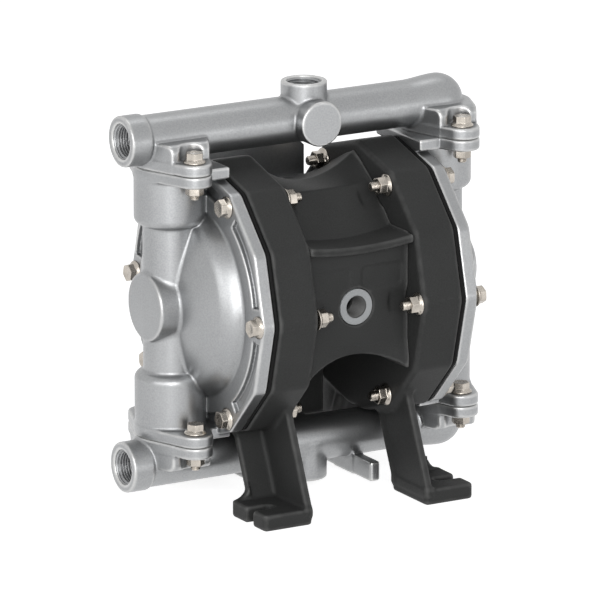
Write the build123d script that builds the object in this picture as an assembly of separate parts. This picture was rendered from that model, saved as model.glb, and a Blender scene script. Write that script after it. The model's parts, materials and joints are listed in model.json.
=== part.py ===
from build123d import *
import math
import os

# Air operated diaphragm pump with half inch fluid ports. Lengths are in millimetres.
# X runs along the diaphragm shaft, the front faces -Y, and Z is up.
# The origin is in the middle of the thread of the bottom port, below the middle of the shaft.

# Heights and stations of the main axes
shaft_height = 129.0
tower_x = 95.0
outlet_rise = 106.3
inlet_drop = 100.0
joint_drop = 17.6

# Stack along X on each side: centre housing, air cap, diaphragm rim, fluid cap flange
centre_half = 36.6
air_cap_depth = 28.1
flange_edge_round = 3.4
rim_thickness = 2.8
fluid_flange_thickness = 8.9

# Twelve-sided flange that the air caps, diaphragms and fluid caps share
flange_half_width = 84.0
flange_half_height = 87.3
flange_corner_r = 10.0
fluid_flange_inset = 0.8
tube_relief_gap = 0.6
cavity_r = 56.0

# Body bolts, as degrees upwards from the front around the shaft
body_bolt_circle_r = 77.2
body_bolt_angles = (0, 60, 120, 180, 222, 300)

# M6 fasteners with flanged hexagons
thread_r = 3.0
clearance_hole_r = 3.3
hex_across_flats = 10.0
bolt_flange_r = 7.1
bolt_flange_height = 1.6
bolt_head_height = 6.3
nut_height = 7.2
plain_nut_height = 5.6
bolt_tip = 4.6
joint_bolt_tip = 3.1
tip_chamfer = 0.6

# Fluid cap: dome, valve chambers, neck and side boss
dome_r = 61.0
dome_rise = 24.6
dome_crown_r = 108.0
dome_shoulder_r = 11.0
dome_wall = 4.6
ring_width = 9.5
pocket_width = 7.5
pocket_depth = 3.2
pocket_margin_deg = 8.5
chamber_outer_r = 22.0
chamber_round = 5.0
upper_chamber_height = 37.5
lower_chamber_height = 40.6
neck_r = 16.6
boss_r = 21.5
boss_face_x = 113.0
joint_plate = 7.3
lobe_y = 31.6
lobe_r = 10.85
shelf_half_width = 27.0

# Check valves
ball_r = 9.5
ball_gap = 0.04
ball_lift = 4.5
ball_stop_gap = 0.2
seat_r = 15.0
seat_height = 7.9
seat_bore_r = 7.0
seat_land_r = 8.6
seat_gap = 0.05
chamber_bore_r = 12.4
stop_rib = 5.0
oring_r = 1.2
lower_seat_bore_r = 9.0
upper_chamber_bore_r = 10.0
passage_r = 7.5
passage_offset = 50.0

# Manifolds
tube_r = 14.6
tube_bore_r = 9.9
end_neck_length = 24.0
collar_taper = 1.6
port_chamfer = 1.0
port_bore_r = 10.4
port_thread_length = 16.0
collar_r = 15.9
collar_length = 13.6
port_face_x = 128.8
end_dome_r = 16.5
centre_port_r = 14.4
outlet_port_top = 23.7
inlet_port_drop = 24.0
front_boss_r = 14.2
front_boss_y = 22.9
foot_pocket_r = 9.0
foot_wall_y = 27.5
foot_corner_r = 5.0
support_lug_x = 32.5
support_lug_width = 7.4
support_lug_reach = 33.0
support_lug_height = 12.2
support_lug_round = 2.0
support_web_inset = 3.0

# Diaphragm, plates and shaft
plate_r = 36.0
plate_thickness = 6.0
plate_round = 2.0
roll_inner_r = 38.3
roll_edge_gap = 0.4
roll_height = 6.8
shaft_r = 7.0
shaft_gap = 0.04
stroke = 8.0
plate_bolt_r = 4.0
plate_bolt_flats = 17.0
plate_bolt_head = 7.0
plate_bolt_depth = 16.0
cavity_lead = 9.0
rod_hole_gap = 1.0
air_wall = 11.4
leg_inner_x = 40.3

# Shaft bushings, seals and the pilot rod
bushing_r = 10.0
bushing_length = 14.0
seal_r = 10.0
seal_width = 3.0
pilot_r = 2.5
pilot_y = 20.0
pilot_reach = 5.4
pilot_bushing_r = 4.0
pilot_bushing_length = 12.0

# Centre housing
face_y = 64.6
face_top = 34.0
face_bottom = -24.0
lip_y = 70.2
lip_low = 34.6
lip_high = 39.6
lip_sag = 3.4
lip_run_out = 2.2
facet_lean_deg = 43.7
crease_y = 22.5
crease_z = 65.3
saddle_z = 66.9
saddle_end_z = 82.0
arch_y = 62.0
arch_z = 31.0
arch_end_y = 68.0
arch_end_z = 43.5
rear_y = 57.0
rear_top_z = 52.5
rear_bottom_z = -41.0
apron_y = 46.0
apron_thickness = 8.0
apron_bottom_z = -97.0
nut_pocket_r = 9.2
nut_pocket_x = 22.8
nut_scoop_r = 14.0
panel_depth = 0.6
panel_low = 11.0
panel_high = 25.0
panel_inner_x = 4.0
panel_outer_x = 32.3
panel_round = 3.0
inlet_ring_r = 11.45
inlet_bore_r = 6.8
inlet_ring_length = 16.0
inlet_passage_r = 4.0
inlet_passage_depth = 34.0
inlet_passage_mouth_r = 5.6
inlet_riser_rise = 26.0
gasket_r = 33.0
gasket_thickness = 0.5
cap_screw_circle_r = 26.0
cap_screw_r = 2.5
cap_screw_head_r = 4.25
cap_screw_head_height = 5.0
cap_screw_depth = 14.0
cap_screw_sink = 3.5
socket_flats = 4.0
screw_gap = 0.2

# Legs and feet
leg_wall = 5.2
leg_lean_deg = 24.0
leg_outer_x = 64.0
leg_fillet = 10.0
leg_top_share = 0.69
leg_back_top_share = 0.82
foot_outer_x = 74.5
foot_front_y = 81.6
foot_back_y = 39.3
foot_thickness = 10.2
foot_round = 5.0
slot_width = 7.6
slot_end_x = 57.8
slot_y = 62.1

# Air valve on the rear of the centre housing
valve_end_gap = 0.9
valve_low = 14.0
valve_high = 78.0
valve_step = 3.6
valve_depth = 40.0
valve_cap_thickness = 11.4
valve_round = 7.0
spool_y = 80.0
spool_z = 58.0
sleeve_r = 11.0
sleeve_bore_r = 7.5
spool_gap = 0.04
spool_neck_r = 4.5
spool_end_room = 4.0
land_width = 7.0
valve_gasket_thickness = 1.0
valve_screw_r = 2.5
valve_screw_inset_x = 13.5
valve_screw_low_z = 21.0
valve_screw_high_z = 41.0
valve_cap_screw_inset = 6.0
valve_cap_screw_depth = 8.0
valve_screw_sink = 1.0
cap_ring_groove = 2.2
muffler_r = 13.0
muffler_length = 42.0
muffler_neck_r = 8.2
muffler_neck_length = 10.0
muffler_z = -22.0
muffler_collar_height = 7.0
muffler_round = 3.0

# Places worked out from the sizes above
shaft_z = inlet_drop + inlet_port_drop - (port_chamfer + port_thread_length) / 2
floor_z = shaft_z - shaft_height
foot_top_z = floor_z + foot_thickness
outlet_z = shaft_z + outlet_rise
inlet_z = shaft_z - inlet_drop
outlet_joint_z = outlet_z - joint_drop
inlet_joint_z = inlet_z + joint_drop
rim_x = centre_half + air_cap_depth
fluid_x = rim_x + rim_thickness
head_x = fluid_x + fluid_flange_thickness
air_wall_x = centre_half + air_wall
cap_screw_seat_x = air_wall_x - cap_screw_sink
valve_body_half = centre_half - valve_end_gap - valve_cap_thickness
spool_half = valve_body_half - spool_end_room
valve_screw_x = valve_body_half - valve_screw_inset_x
valve_front_y = rear_y + valve_gasket_thickness
valve_rear_y = valve_front_y + valve_depth
seat_top_gap = math.sqrt(ball_r**2 - seat_land_r**2)
roll_outer_r = cavity_r - roll_edge_gap
shaft_axis = Axis((0, 0, shaft_z), (1, 0, 0))


def rod(radius, length, base, direction):
    """A round bar that starts at base and runs along direction."""
    bar = Cylinder(radius, length, align=(Align.CENTER, Align.CENTER, Align.MIN))
    return Plane(origin=base, z_dir=direction) * bar


def block(low, high):
    """A box between two opposite corners."""
    size = [far - near for near, far in zip(low, high)]
    return Pos(*low) * Box(*size, align=(Align.MIN, Align.MIN, Align.MIN))


def side_plane(x):
    """The plane across the shaft at x, with Y and Z as its own axes."""
    return Plane(origin=(x, 0, 0), x_dir=(0, 1, 0), z_dir=(1, 0, 0))


def slab(sketch, x_low, x_high):
    """A plate of the given YZ sketch between two stations along X."""
    return extrude(side_plane(x_low) * sketch, x_high - x_low)


def profile(points):
    """A face with straight edges through the given points."""
    return make_face(Polyline(*points, close=True))


def around_shaft(face):
    """Turns a face, drawn as station along X and radius, about the shaft."""
    drawing = Plane(origin=(0, 0, shaft_z), x_dir=(1, 0, 0), z_dir=(0, -1, 0))
    return revolve(drawing * face, axis=shaft_axis)


def group(solids):
    """Several separate solids that share one node."""
    return Compound([solid for solid in solids])


def mirrored(shape):
    """The left-hand twin of a right-hand piece."""
    return mirror(shape, about=Plane.YZ)


def flange_sketch(inset=0.0):
    """The twelve-sided flange outline about the shaft, flat at the bottom over the inlet tube."""
    corners = []
    for step in range(12):
        turn = math.radians(30 * step)
        across = (flange_half_width - inset) * math.cos(turn)
        up = (flange_half_height - inset) * math.sin(turn)
        corners.append((across, shaft_z + up))
    outline = profile(corners)
    relief_top = inlet_z + tube_r + tube_relief_gap
    relief = Pos(0, relief_top) * Rectangle(flange_half_width, flange_half_height,
                                            align=(Align.CENTER, Align.MAX))
    return fillet(outline.vertices(), flange_corner_r) - relief


def body_bolt_places():
    """The body bolts' Y and Z, from the bolt circle."""
    places = []
    for angle in body_bolt_angles:
        turn = math.radians(angle)
        y = -body_bolt_circle_r * math.cos(turn)
        places.append((y, shaft_z + body_bolt_circle_r * math.sin(turn)))
    return places


def hexagon(across_flats, height):
    """A hexagonal prism on the XY plane."""
    return extrude(RegularPolygon(across_flats / 2, 6, major_radius=False), height)


def flanged_head(height):
    """A hexagon on a round flange, with the crown turned down at its corners."""
    cone_low_r = bolt_flange_r - 0.9
    skirt = Cylinder(bolt_flange_r, bolt_flange_height * 0.5,
                     align=(Align.CENTER, Align.CENTER, Align.MIN))
    cone = Cone(bolt_flange_r, cone_low_r, bolt_flange_height * 0.5,
                align=(Align.CENTER, Align.CENTER, Align.MIN))
    crown_r = hex_across_flats / 2 / math.cos(math.radians(30))
    crown = Cylinder(crown_r, height, align=(Align.CENTER, Align.CENTER, Align.MIN))
    crown = chamfer(crown.edges().group_by(Axis.Z)[-1], 0.9, 0.5)
    head = hexagon(hex_across_flats, height) & crown
    return skirt + Pos(0, 0, bolt_flange_height * 0.5) * cone + head


def flanged_bolt(reach, tip=True):
    """An M6 bolt with its flange on the XY plane and its shank below."""
    shank = Pos(0, 0, -reach) * Cylinder(thread_r, reach + 1.0,
                                        align=(Align.CENTER, Align.CENTER, Align.MIN))
    if tip:
        shank = chamfer(shank.edges().group_by(Axis.Z)[0], tip_chamfer)
    return flanged_head(bolt_head_height) + shank


def flanged_nut(height):
    """An M6 nut with its flange on the XY plane."""
    hole = Cylinder(thread_r, 3 * height)
    return flanged_head(height) - hole


def plain_nut(height):
    """An M6 hexagon nut that stands on the XY plane."""
    crown_r = hex_across_flats / 2 / math.cos(math.radians(30))
    crown = Cylinder(crown_r, height, align=(Align.CENTER, Align.CENTER, Align.MIN))
    crown = chamfer(crown.edges().group_by(Axis.Z)[-1], 0.5, 0.9)
    hole = Cylinder(thread_r, 3 * height)
    return (hexagon(hex_across_flats, height) & crown) - hole


def socket_screw(reach):
    """A cap screw with a hexagon socket, its head on the XY plane and its shank below."""
    head = Cylinder(cap_screw_head_r, cap_screw_head_height,
                    align=(Align.CENTER, Align.CENTER, Align.MIN))
    head = chamfer(head.edges().group_by(Axis.Z)[-1], 0.4)
    socket = Pos(0, 0, cap_screw_head_height / 2) * hexagon(socket_flats, cap_screw_head_height)
    shank = Pos(0, 0, -reach) * Cylinder(cap_screw_r, reach + 1.0,
                                        align=(Align.CENTER, Align.CENTER, Align.MIN))
    return head - socket + shank


def ring(major_r, minor_r):
    """An O-ring that lies on the XY plane, centred on its own axis."""
    return Torus(major_r, minor_r)


# Air cap: charcoal casting with the flange, air chamber, legs and feet
def leg_edge(start_y, z):
    """Y of a leaning edge that leaves the foot at start_y, at height z."""
    return -start_y + (z - foot_top_z) * math.tan(math.radians(leg_lean_deg))


def front_leg():
    """The right-hand front leg and foot, L-shaped in plan."""
    wall_top = shaft_z - leg_top_share * flange_half_height
    back_top = shaft_z - leg_back_top_share * flange_half_height
    low = floor_z + foot_thickness / 2
    inner = profile([
        (-foot_front_y, low),
        (-foot_front_y, foot_top_z),
        (leg_edge(foot_front_y, wall_top), wall_top),
        (leg_edge(foot_back_y, wall_top), wall_top),
        (-foot_back_y, foot_top_z),
        (-foot_back_y, low),
    ])
    back = profile([
        (-foot_back_y, low),
        (-foot_back_y, foot_top_z),
        (leg_edge(foot_back_y, back_top), back_top),
        (leg_edge(foot_back_y + leg_wall, back_top), back_top),
        (-foot_back_y - leg_wall, foot_top_z),
        (-foot_back_y - leg_wall, low),
    ])
    inner_wall = slab(inner, leg_inner_x, leg_inner_x + leg_wall)
    back_wall = slab(back, leg_inner_x, leg_outer_x)
    foot = block((leg_inner_x, -foot_front_y, floor_z), (foot_outer_x, -foot_back_y, foot_top_z))
    rear_corner = foot.edges().filter_by(Axis.Z).group_by(Axis.X)[-1].sort_by(Axis.Y)[-1]
    foot = fillet(rear_corner, foot_round)
    slot_round_x = slot_end_x + slot_width / 2
    slot = block((slot_round_x, -slot_y - slot_width / 2, floor_z - 1),
                 (foot_outer_x + 1, -slot_y + slot_width / 2, foot_top_z + 1))
    slot += rod(slot_width / 2, foot_thickness + 2, (slot_round_x, -slot_y, floor_z - 1), (0, 0, 1))
    gusset_low = (leg_outer_x - 1, -foot_back_y - leg_wall, foot_top_z - 1)
    gusset_high = (leg_outer_x + leg_fillet, -foot_back_y, foot_top_z + leg_fillet)
    gusset = block(gusset_low, gusset_high)
    scoop_base = (leg_outer_x + leg_fillet, -foot_back_y + 1, foot_top_z + leg_fillet)
    gusset -= rod(leg_fillet, leg_wall + 2, scoop_base, (0, -1, 0))
    return inner_wall + back_wall + (foot - slot) + gusset


def cap_screw_places():
    """Y and Z of the screws that hold an air cap to the centre housing."""
    reach = cap_screw_circle_r * math.sqrt(0.5)
    return [(a * reach, shaft_z + b * reach) for a in (-1, 1) for b in (-1, 1)]


def air_cap():
    """The right-hand air cap."""
    cap = slab(flange_sketch(), centre_half, rim_x)
    cap = fillet(cap.edges().group_by(Axis.X)[0], flange_edge_round)
    leg = front_leg()
    cap = cap + leg + mirror(leg, about=Plane.XZ)
    chamber = around_shaft(profile([
        (air_wall_x, 0),
        (air_wall_x, cavity_r - cavity_lead),
        (air_wall_x + cavity_lead, cavity_r),
        (rim_x + 1, cavity_r),
        (rim_x + 1, 0),
    ]))
    cap -= chamber
    for y, z in body_bolt_places():
        cap -= rod(clearance_hole_r, air_cap_depth + 2, (centre_half - 1, y, z), (1, 0, 0))
    for y, z in cap_screw_places():
        cap -= rod(cap_screw_r + screw_gap, air_wall + 2, (centre_half - 1, y, z), (1, 0, 0))
        cap -= rod(cap_screw_head_r + screw_gap, air_wall, (cap_screw_seat_x, y, z), (1, 0, 0))
    cap -= rod(shaft_r + rod_hole_gap, air_wall + 2, (centre_half - 1, 0, shaft_z), (1, 0, 0))
    cap -= rod(pilot_r + rod_hole_gap / 2, air_wall + 2, (centre_half - 1, pilot_y, shaft_z), (1, 0, 0))
    return cap


# Fluid cap: aluminium casting with the dome and the two valve chambers
def joint_sketch():
    """The two-bolt joint flange around a valve tower, drawn in the XY plane."""
    lobes = [Pos(tower_x, side * lobe_y) * Circle(lobe_r) for side in (-1, 1)]
    return make_hull((Pos(tower_x, 0) * Circle(chamber_outer_r) + lobes).edges())


def joint_shelf(z_low):
    """The joint flange plate with its shelf back to the fluid cap's flange."""
    plate = extrude(Plane.XY.offset(z_low) * joint_sketch(), joint_plate)
    shelf = block((fluid_x, -shelf_half_width, z_low), (tower_x, shelf_half_width, z_low + joint_plate))
    return plate + shelf


def dome(radius, base_x, top_x, crown_r):
    """A dome about the shaft: a round wall, a rounded shoulder and a spherical crown."""
    centre_x = top_x - crown_r
    edge_turn = math.asin(radius / crown_r)
    edge = (centre_x + crown_r * math.cos(edge_turn), radius)
    half_way = (centre_x + crown_r * math.cos(edge_turn / 2), crown_r * math.sin(edge_turn / 2))
    face = make_face([
        Line((base_x, 0), (base_x, radius)),
        Line((base_x, radius), edge),
        ThreePointArc(edge, half_way, (top_x, 0)),
        Line((top_x, 0), (base_x, 0)),
    ])
    shoulder = face.vertices().sort_by_distance(Vector(*edge, 0))[0]
    return around_shaft(fillet(shoulder, dome_shoulder_r))


def flange_pockets():
    """The shallow arc pockets in the fluid cap's flange, one between each pair of bolts."""
    inner_r = dome_r + ring_width
    outer_r = inner_r + pocket_width
    pockets = []
    angles = sorted(body_bolt_angles)
    for first, second in zip(angles, angles[1:] + [angles[0] + 360]):
        start = first + pocket_margin_deg
        sweep = second - first - 2 * pocket_margin_deg
        band = Circle(outer_r) - Circle(inner_r)
        reach = 2 * outer_r
        steps = [math.radians(start + sweep * share) for share in (0, 0.25, 0.5, 0.75, 1)]
        rays = [(-reach * math.cos(turn), reach * math.sin(turn)) for turn in steps]
        wedge = profile([(0, 0)] + rays)
        pockets.append(Pos(0, shaft_z) * (band & wedge))
    return pockets


def fluid_cap():
    """The right-hand fluid cap."""
    outer_z = (inlet_joint_z, outlet_joint_z)
    cap = slab(flange_sketch(fluid_flange_inset), fluid_x, head_x)
    for pocket in flange_pockets():
        cap -= slab(pocket, head_x - pocket_depth, head_x + 1)
    cap += dome(dome_r, fluid_x + pocket_depth, head_x + dome_rise, dome_crown_r)
    upper = rod(chamber_outer_r, upper_chamber_height, (tower_x, 0, outer_z[1] - upper_chamber_height), (0, 0, 1))
    upper = fillet(upper.edges().group_by(Axis.Z)[0], chamber_round)
    lower = rod(chamber_outer_r, lower_chamber_height, (tower_x, 0, outer_z[0]), (0, 0, 1))
    lower = fillet(lower.edges().group_by(Axis.Z)[-1], chamber_round)
    neck = rod(neck_r, outer_z[1] - outer_z[0], (tower_x, 0, outer_z[0]), (0, 0, 1))
    boss = rod(boss_r, boss_face_x - head_x, (head_x, 0, shaft_z), (1, 0, 0))
    boss = fillet(boss.edges().group_by(Axis.X)[-1], 1.5)
    cap = cap + upper + lower + neck + boss
    cap = cap + joint_shelf(outer_z[1] - joint_plate) + joint_shelf(outer_z[0])

    cavity = dome(cavity_r, fluid_x - 1, head_x + dome_rise - dome_wall, dome_crown_r - dome_wall)
    lower_bore = rod(chamber_bore_r, lower_chamber_height - dome_wall, (tower_x, 0, outer_z[0]), (0, 0, 1))
    stop_z = inlet_ball_z() + ball_r + ball_lift + ball_stop_gap
    rib = block((tower_x - chamber_bore_r, -stop_rib / 2, stop_z),
                (tower_x + chamber_bore_r, stop_rib / 2, outer_z[0] + lower_chamber_height))
    lower_bore -= rib
    upper_bore = rod(upper_chamber_bore_r, upper_chamber_height - dome_wall,
                     (tower_x, 0, outer_z[1] - upper_chamber_height + dome_wall), (0, 0, 1))
    seat_recess = rod(seat_r + seat_gap, seat_height + 1,
                      (tower_x, 0, outer_z[1] - seat_height - seat_gap), (0, 0, 1))
    below_joint = block((fluid_x - 1, -flange_half_width, floor_z),
                        (tower_x, flange_half_width, outer_z[0]))
    cap = cap - cavity - lower_bore - upper_bore - seat_recess - below_joint
    for side in (-1, 1):
        cap -= rod(passage_r, tower_x - fluid_x, (fluid_x + 1, 0, shaft_z + side * passage_offset), (1, 0, 0))
        for z in (outer_z[0] - 1, outer_z[1] - joint_plate - 1):
            cap -= rod(clearance_hole_r, joint_plate + 2, (tower_x, side * lobe_y, z), (0, 0, 1))
    for y, z in body_bolt_places():
        cap -= rod(clearance_hole_r, fluid_flange_thickness + 2, (fluid_x - 1, y, z), (1, 0, 0))
    return cap


# Check valves: ring seats with O-rings, and balls that lift off them
def outlet_ball_z():
    """Height of an outlet ball's centre on its seat."""
    return outlet_joint_z - seat_gap + seat_top_gap


def inlet_ball_z():
    """Height of an inlet ball's centre on its seat."""
    return inlet_joint_z - seat_gap + seat_top_gap


def seat(top_z, ball_z):
    """A seat ring below its joint, with a ball-shaped land and an O-ring groove."""
    body = rod(seat_r, seat_height - seat_gap, (tower_x, 0, top_z - seat_height), (0, 0, 1))
    body -= rod(seat_bore_r, seat_height + 2, (tower_x, 0, top_z - seat_height - 1), (0, 0, 1))
    body -= Pos(tower_x, 0, ball_z) * Sphere(ball_r + ball_gap)
    groove = rod(seat_r + 1, 2 * oring_r, (tower_x, 0, top_z - 2 * oring_r - seat_gap), (0, 0, 1))
    groove -= rod(seat_r - 2 * oring_r - seat_gap, 6 * oring_r, (tower_x, 0, top_z - 4 * oring_r), (0, 0, 1))
    return body - groove


def seat_ring(top_z):
    """The O-ring between a seat and the casting above it."""
    return Pos(tower_x, 0, top_z - oring_r - seat_gap / 2) * ring(seat_r - oring_r, oring_r - seat_gap / 2)


# Manifolds: aluminium tubes with an open end, a closed domed end and two bolted feet
def manifold_foot(upward):
    """A joint foot at the right-hand tower, drawn above the joint and turned over for the inlet."""
    plate = extrude(joint_sketch(), joint_plate)
    walls = block((tower_x - 2 * chamber_outer_r, -foot_wall_y, 0),
                  (tower_x + 2 * chamber_outer_r, foot_wall_y, joint_drop))
    walls = fillet(walls.edges().filter_by(Axis.X).group_by(Axis.Z)[-1], foot_corner_r)
    tall = extrude(joint_sketch(), joint_drop) & walls
    for side in (-1, 1):
        tall -= rod(foot_pocket_r, joint_drop, (tower_x, side * lobe_y, joint_plate), (0, 0, 1))
        y_low, y_high = sorted((side * lobe_y, side * (lobe_y + 2 * lobe_r)))
        tall -= block((tower_x - foot_pocket_r, y_low, joint_plate),
                      (tower_x + foot_pocket_r, y_high, joint_drop + 1))
    foot = plate + tall
    if upward:
        return Pos(0, 0, outlet_joint_z) * foot
    return Pos(0, 0, inlet_joint_z) * mirror(foot, about=Plane.XY)


def manifold_tube(axis_z):
    """The outside of a manifold tube, from the port at -X to the domed end."""
    neck_x = tower_x - end_neck_length
    collar_x = -port_face_x + collar_length
    outline = make_face([
        Line((-port_face_x, 0), (-port_face_x, collar_r)),
        Line((-port_face_x, collar_r), (collar_x, collar_r)),
        Line((collar_x, collar_r), (collar_x + collar_taper, tube_r)),
        Line((collar_x + collar_taper, tube_r), (neck_x, tube_r)),
        Spline((neck_x, tube_r), (tower_x, end_dome_r), tangents=((1, 0), (1, 0))),
        ThreePointArc((tower_x, end_dome_r),
                      (tower_x + end_dome_r * math.sqrt(0.5), end_dome_r * math.sqrt(0.5)),
                      (tower_x + end_dome_r, 0)),
        Line((tower_x + end_dome_r, 0), (-port_face_x, 0)),
    ])
    drawing = Plane(origin=(0, 0, axis_z), x_dir=(1, 0, 0), z_dir=(0, -1, 0))
    return revolve(drawing * outline, axis=Axis((0, 0, axis_z), (1, 0, 0)))


def port_mouth(radius, base, direction):
    """A chamfer at the mouth of a threaded port."""
    cone = Cone(radius + port_chamfer, radius, port_chamfer,
                align=(Align.CENTER, Align.CENTER, Align.MIN))
    return Plane(origin=base, z_dir=direction) * cone


def manifold(axis_z, upward):
    """A manifold with its end port at -X and a centre port that points away from the pump."""
    way = 1 if upward else -1
    joint_z = outlet_joint_z if upward else inlet_joint_z
    port_reach = outlet_port_top if upward else inlet_port_drop
    foot = manifold_foot(upward)
    body = manifold_tube(axis_z) + foot + mirrored(foot)
    body += rod(centre_port_r, port_reach, (0, 0, axis_z), (0, 0, way))
    body += rod(front_boss_r, front_boss_y, (0, 0, axis_z), (0, -way, 0))
    if not upward:
        low = axis_z - inlet_port_drop
        for side in (-1, 1):
            lug_low, lug_high = sorted((side * (support_lug_x - support_lug_width / 2),
                                        side * (support_lug_x + support_lug_width / 2)))
            lug = block((lug_low, -support_lug_reach, low),
                        (lug_high, support_lug_reach, low + support_lug_height))
            body += fillet(lug.edges().filter_by(Axis.Z), support_lug_round)
            web_half = tube_r - support_web_inset
            body += block((lug_low, -web_half, low), (lug_high, web_half, axis_z))
    body -= rod(tube_bore_r, port_face_x + tower_x + 3, (-port_face_x, 0, axis_z), (1, 0, 0))
    body -= rod(tube_bore_r, port_reach + 1, (0, 0, axis_z), (0, 0, way))
    body -= rod(port_bore_r, port_thread_length, (-port_face_x, 0, axis_z), (1, 0, 0))
    mouth_z = axis_z + way * port_reach
    body -= rod(port_bore_r, port_thread_length, (0, 0, mouth_z), (0, 0, -way))
    body -= port_mouth(port_bore_r, (-port_face_x, 0, axis_z), (1, 0, 0))
    body -= port_mouth(port_bore_r, (0, 0, mouth_z), (0, 0, -way))
    for side in (-1, 1):
        tower = side * tower_x
        if upward:
            chamber = rod(chamber_bore_r, joint_drop, (tower, 0, joint_z), (0, 0, 1))
            body -= chamber
            stop_z = outlet_ball_z() + ball_r + ball_lift + ball_stop_gap
            rib = block((tower - 2 * stop_rib, -stop_rib / 2, stop_z),
                        (tower + 2 * stop_rib, stop_rib / 2, axis_z + tube_bore_r + 1))
            body += rib
        else:
            body -= rod(lower_seat_bore_r, joint_drop, (tower, 0, axis_z), (0, 0, 1))
            body -= rod(seat_r + seat_gap, seat_height + seat_gap + 1,
                        (tower, 0, joint_z - seat_height - seat_gap), (0, 0, 1))
        for bolt_side in (-1, 1):
            body -= rod(clearance_hole_r, joint_drop + 2,
                        (tower, bolt_side * lobe_y, joint_z - way), (0, 0, way))
    return body


# Diaphragm assembly: rubber disc, clamping plates, plate bolts and the shaft between them
def diaphragm():
    """The right-hand diaphragm, with its outer rim cut to the flange outline."""
    rim = slab(flange_sketch(fluid_flange_inset), rim_x, fluid_x)
    rim -= rod(roll_outer_r, rim_thickness + 2, (rim_x - 1, 0, shaft_z), (1, 0, 0))
    middle = (roll_inner_r + roll_outer_r) / 2
    disc = around_shaft(make_face([
        Line((rim_x, plate_bolt_r + screw_gap), (rim_x, roll_inner_r + 2)),
        ThreePointArc((rim_x, roll_inner_r + 2), (rim_x + roll_height - 0.4, middle),
                      (rim_x, roll_outer_r - 2)),
        Line((rim_x, roll_outer_r - 2), (rim_x, cavity_r)),
        Line((rim_x, cavity_r), (fluid_x, cavity_r)),
        Line((fluid_x, cavity_r), (fluid_x, roll_outer_r)),
        ThreePointArc((fluid_x, roll_outer_r), (fluid_x + roll_height, middle), (fluid_x, roll_inner_r)),
        Line((fluid_x, roll_inner_r), (fluid_x, plate_bolt_r + screw_gap)),
        Line((fluid_x, plate_bolt_r + screw_gap), (rim_x, plate_bolt_r + screw_gap)),
    ]))
    body = rim + disc
    for y, z in body_bolt_places():
        body -= rod(clearance_hole_r, rim_thickness + 2, (rim_x - 1, y, z), (1, 0, 0))
    return body


def plate(base_x):
    """A clamping plate that starts at base_x."""
    disc = rod(plate_r, plate_thickness, (base_x, 0, shaft_z), (1, 0, 0))
    disc = fillet(disc.edges().filter_by(GeomType.CIRCLE), plate_round)
    return disc - rod(plate_bolt_r + screw_gap, plate_thickness + 2, (base_x - 1, 0, shaft_z), (1, 0, 0))


def plate_bolt():
    """The bolt that clamps both plates and the diaphragm to the shaft's end."""
    head_low = fluid_x + plate_thickness
    shank_low = rim_x - plate_thickness - plate_bolt_depth
    head = extrude(side_plane(head_low) * Pos(0, shaft_z)
                   * RegularPolygon(plate_bolt_flats / 2, 6, major_radius=False), plate_bolt_head)
    return head + rod(plate_bolt_r, head_low - shank_low + 1, (shank_low, 0, shaft_z), (1, 0, 0))


def diaphragm_shaft():
    """The shaft, with a tapped hole in each end."""
    half = rim_x - plate_thickness
    body = rod(shaft_r, 2 * half, (-half, 0, shaft_z), (1, 0, 0))
    body = chamfer(body.edges().filter_by(GeomType.CIRCLE), 0.5)
    for side in (-1, 1):
        body -= rod(plate_bolt_r, plate_bolt_depth + 0.5, (side * half, 0, shaft_z), (-side, 0, 0))
    return body


def shaft_bushing():
    """The right-hand plain bearing, pressed into the centre housing's end."""
    outer = centre_half - gasket_thickness - seal_width
    body = rod(bushing_r, bushing_length, (outer - bushing_length, 0, shaft_z), (1, 0, 0))
    return body - rod(shaft_r + shaft_gap, bushing_length + 2, (outer - bushing_length - 1, 0, shaft_z), (1, 0, 0))


def shaft_seal():
    """The right-hand lip seal outside the bushing."""
    base = centre_half - gasket_thickness - seal_width
    body = rod(seal_r, seal_width, (base, 0, shaft_z), (1, 0, 0))
    return body - rod(shaft_r + shaft_gap, seal_width + 2, (base - 1, 0, shaft_z), (1, 0, 0))


def pilot_rod():
    """The rod that the inner plates push to switch the air valve."""
    half = air_wall_x + pilot_reach
    body = rod(pilot_r, 2 * half, (-half, pilot_y, shaft_z), (1, 0, 0))
    return chamfer(body.edges().filter_by(GeomType.CIRCLE), 0.4)


def pilot_bushing():
    """The right-hand guide of the pilot rod."""
    outer = centre_half - gasket_thickness
    base = outer - pilot_bushing_length
    body = rod(pilot_bushing_r, pilot_bushing_length, (base, pilot_y, shaft_z), (1, 0, 0))
    return body - rod(pilot_r + shaft_gap, pilot_bushing_length + 2, (base - 1, pilot_y, shaft_z), (1, 0, 0))


# Centre housing: charcoal casting between the air caps
def centre_section(x):
    """The housing's YZ outline at a station along X, waisted towards the middle.

    It runs from the front face up over the lip, its ledge, the facet and the saddle, down the
    rear face and the apron, and back under the arch.
    """
    share = min(abs(x) / centre_half, 1.0)
    bow = share * share
    top = saddle_z + (saddle_end_z - saddle_z) * bow
    arch = -(arch_z + (arch_end_z - arch_z) * bow)
    arch_front = -(arch_y + (arch_end_y - arch_y) * bow)
    lift = lip_sag * bow
    lip_front = lip_y + lip_run_out * bow
    ledge = crease_y + (crease_z - lip_high - lift) * math.tan(math.radians(facet_lean_deg))
    points = [
        (-face_y, face_bottom),
        (-face_y, face_top + lift),
        (-lip_front, lip_low + lift),
        (-lip_front, lip_high + lift),
        (-ledge, lip_high + lift),
        (-crease_y, crease_z),
        (0.0, top),
        (rear_y, rear_top_z),
        (rear_y, rear_bottom_z),
        (apron_y, rear_bottom_z),
        (apron_y, apron_bottom_z),
        (apron_y - apron_thickness, apron_bottom_z),
        (apron_y - apron_thickness, arch),
        (arch_front, arch),
    ]
    return [(y, shaft_z + z) for y, z in points]


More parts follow.
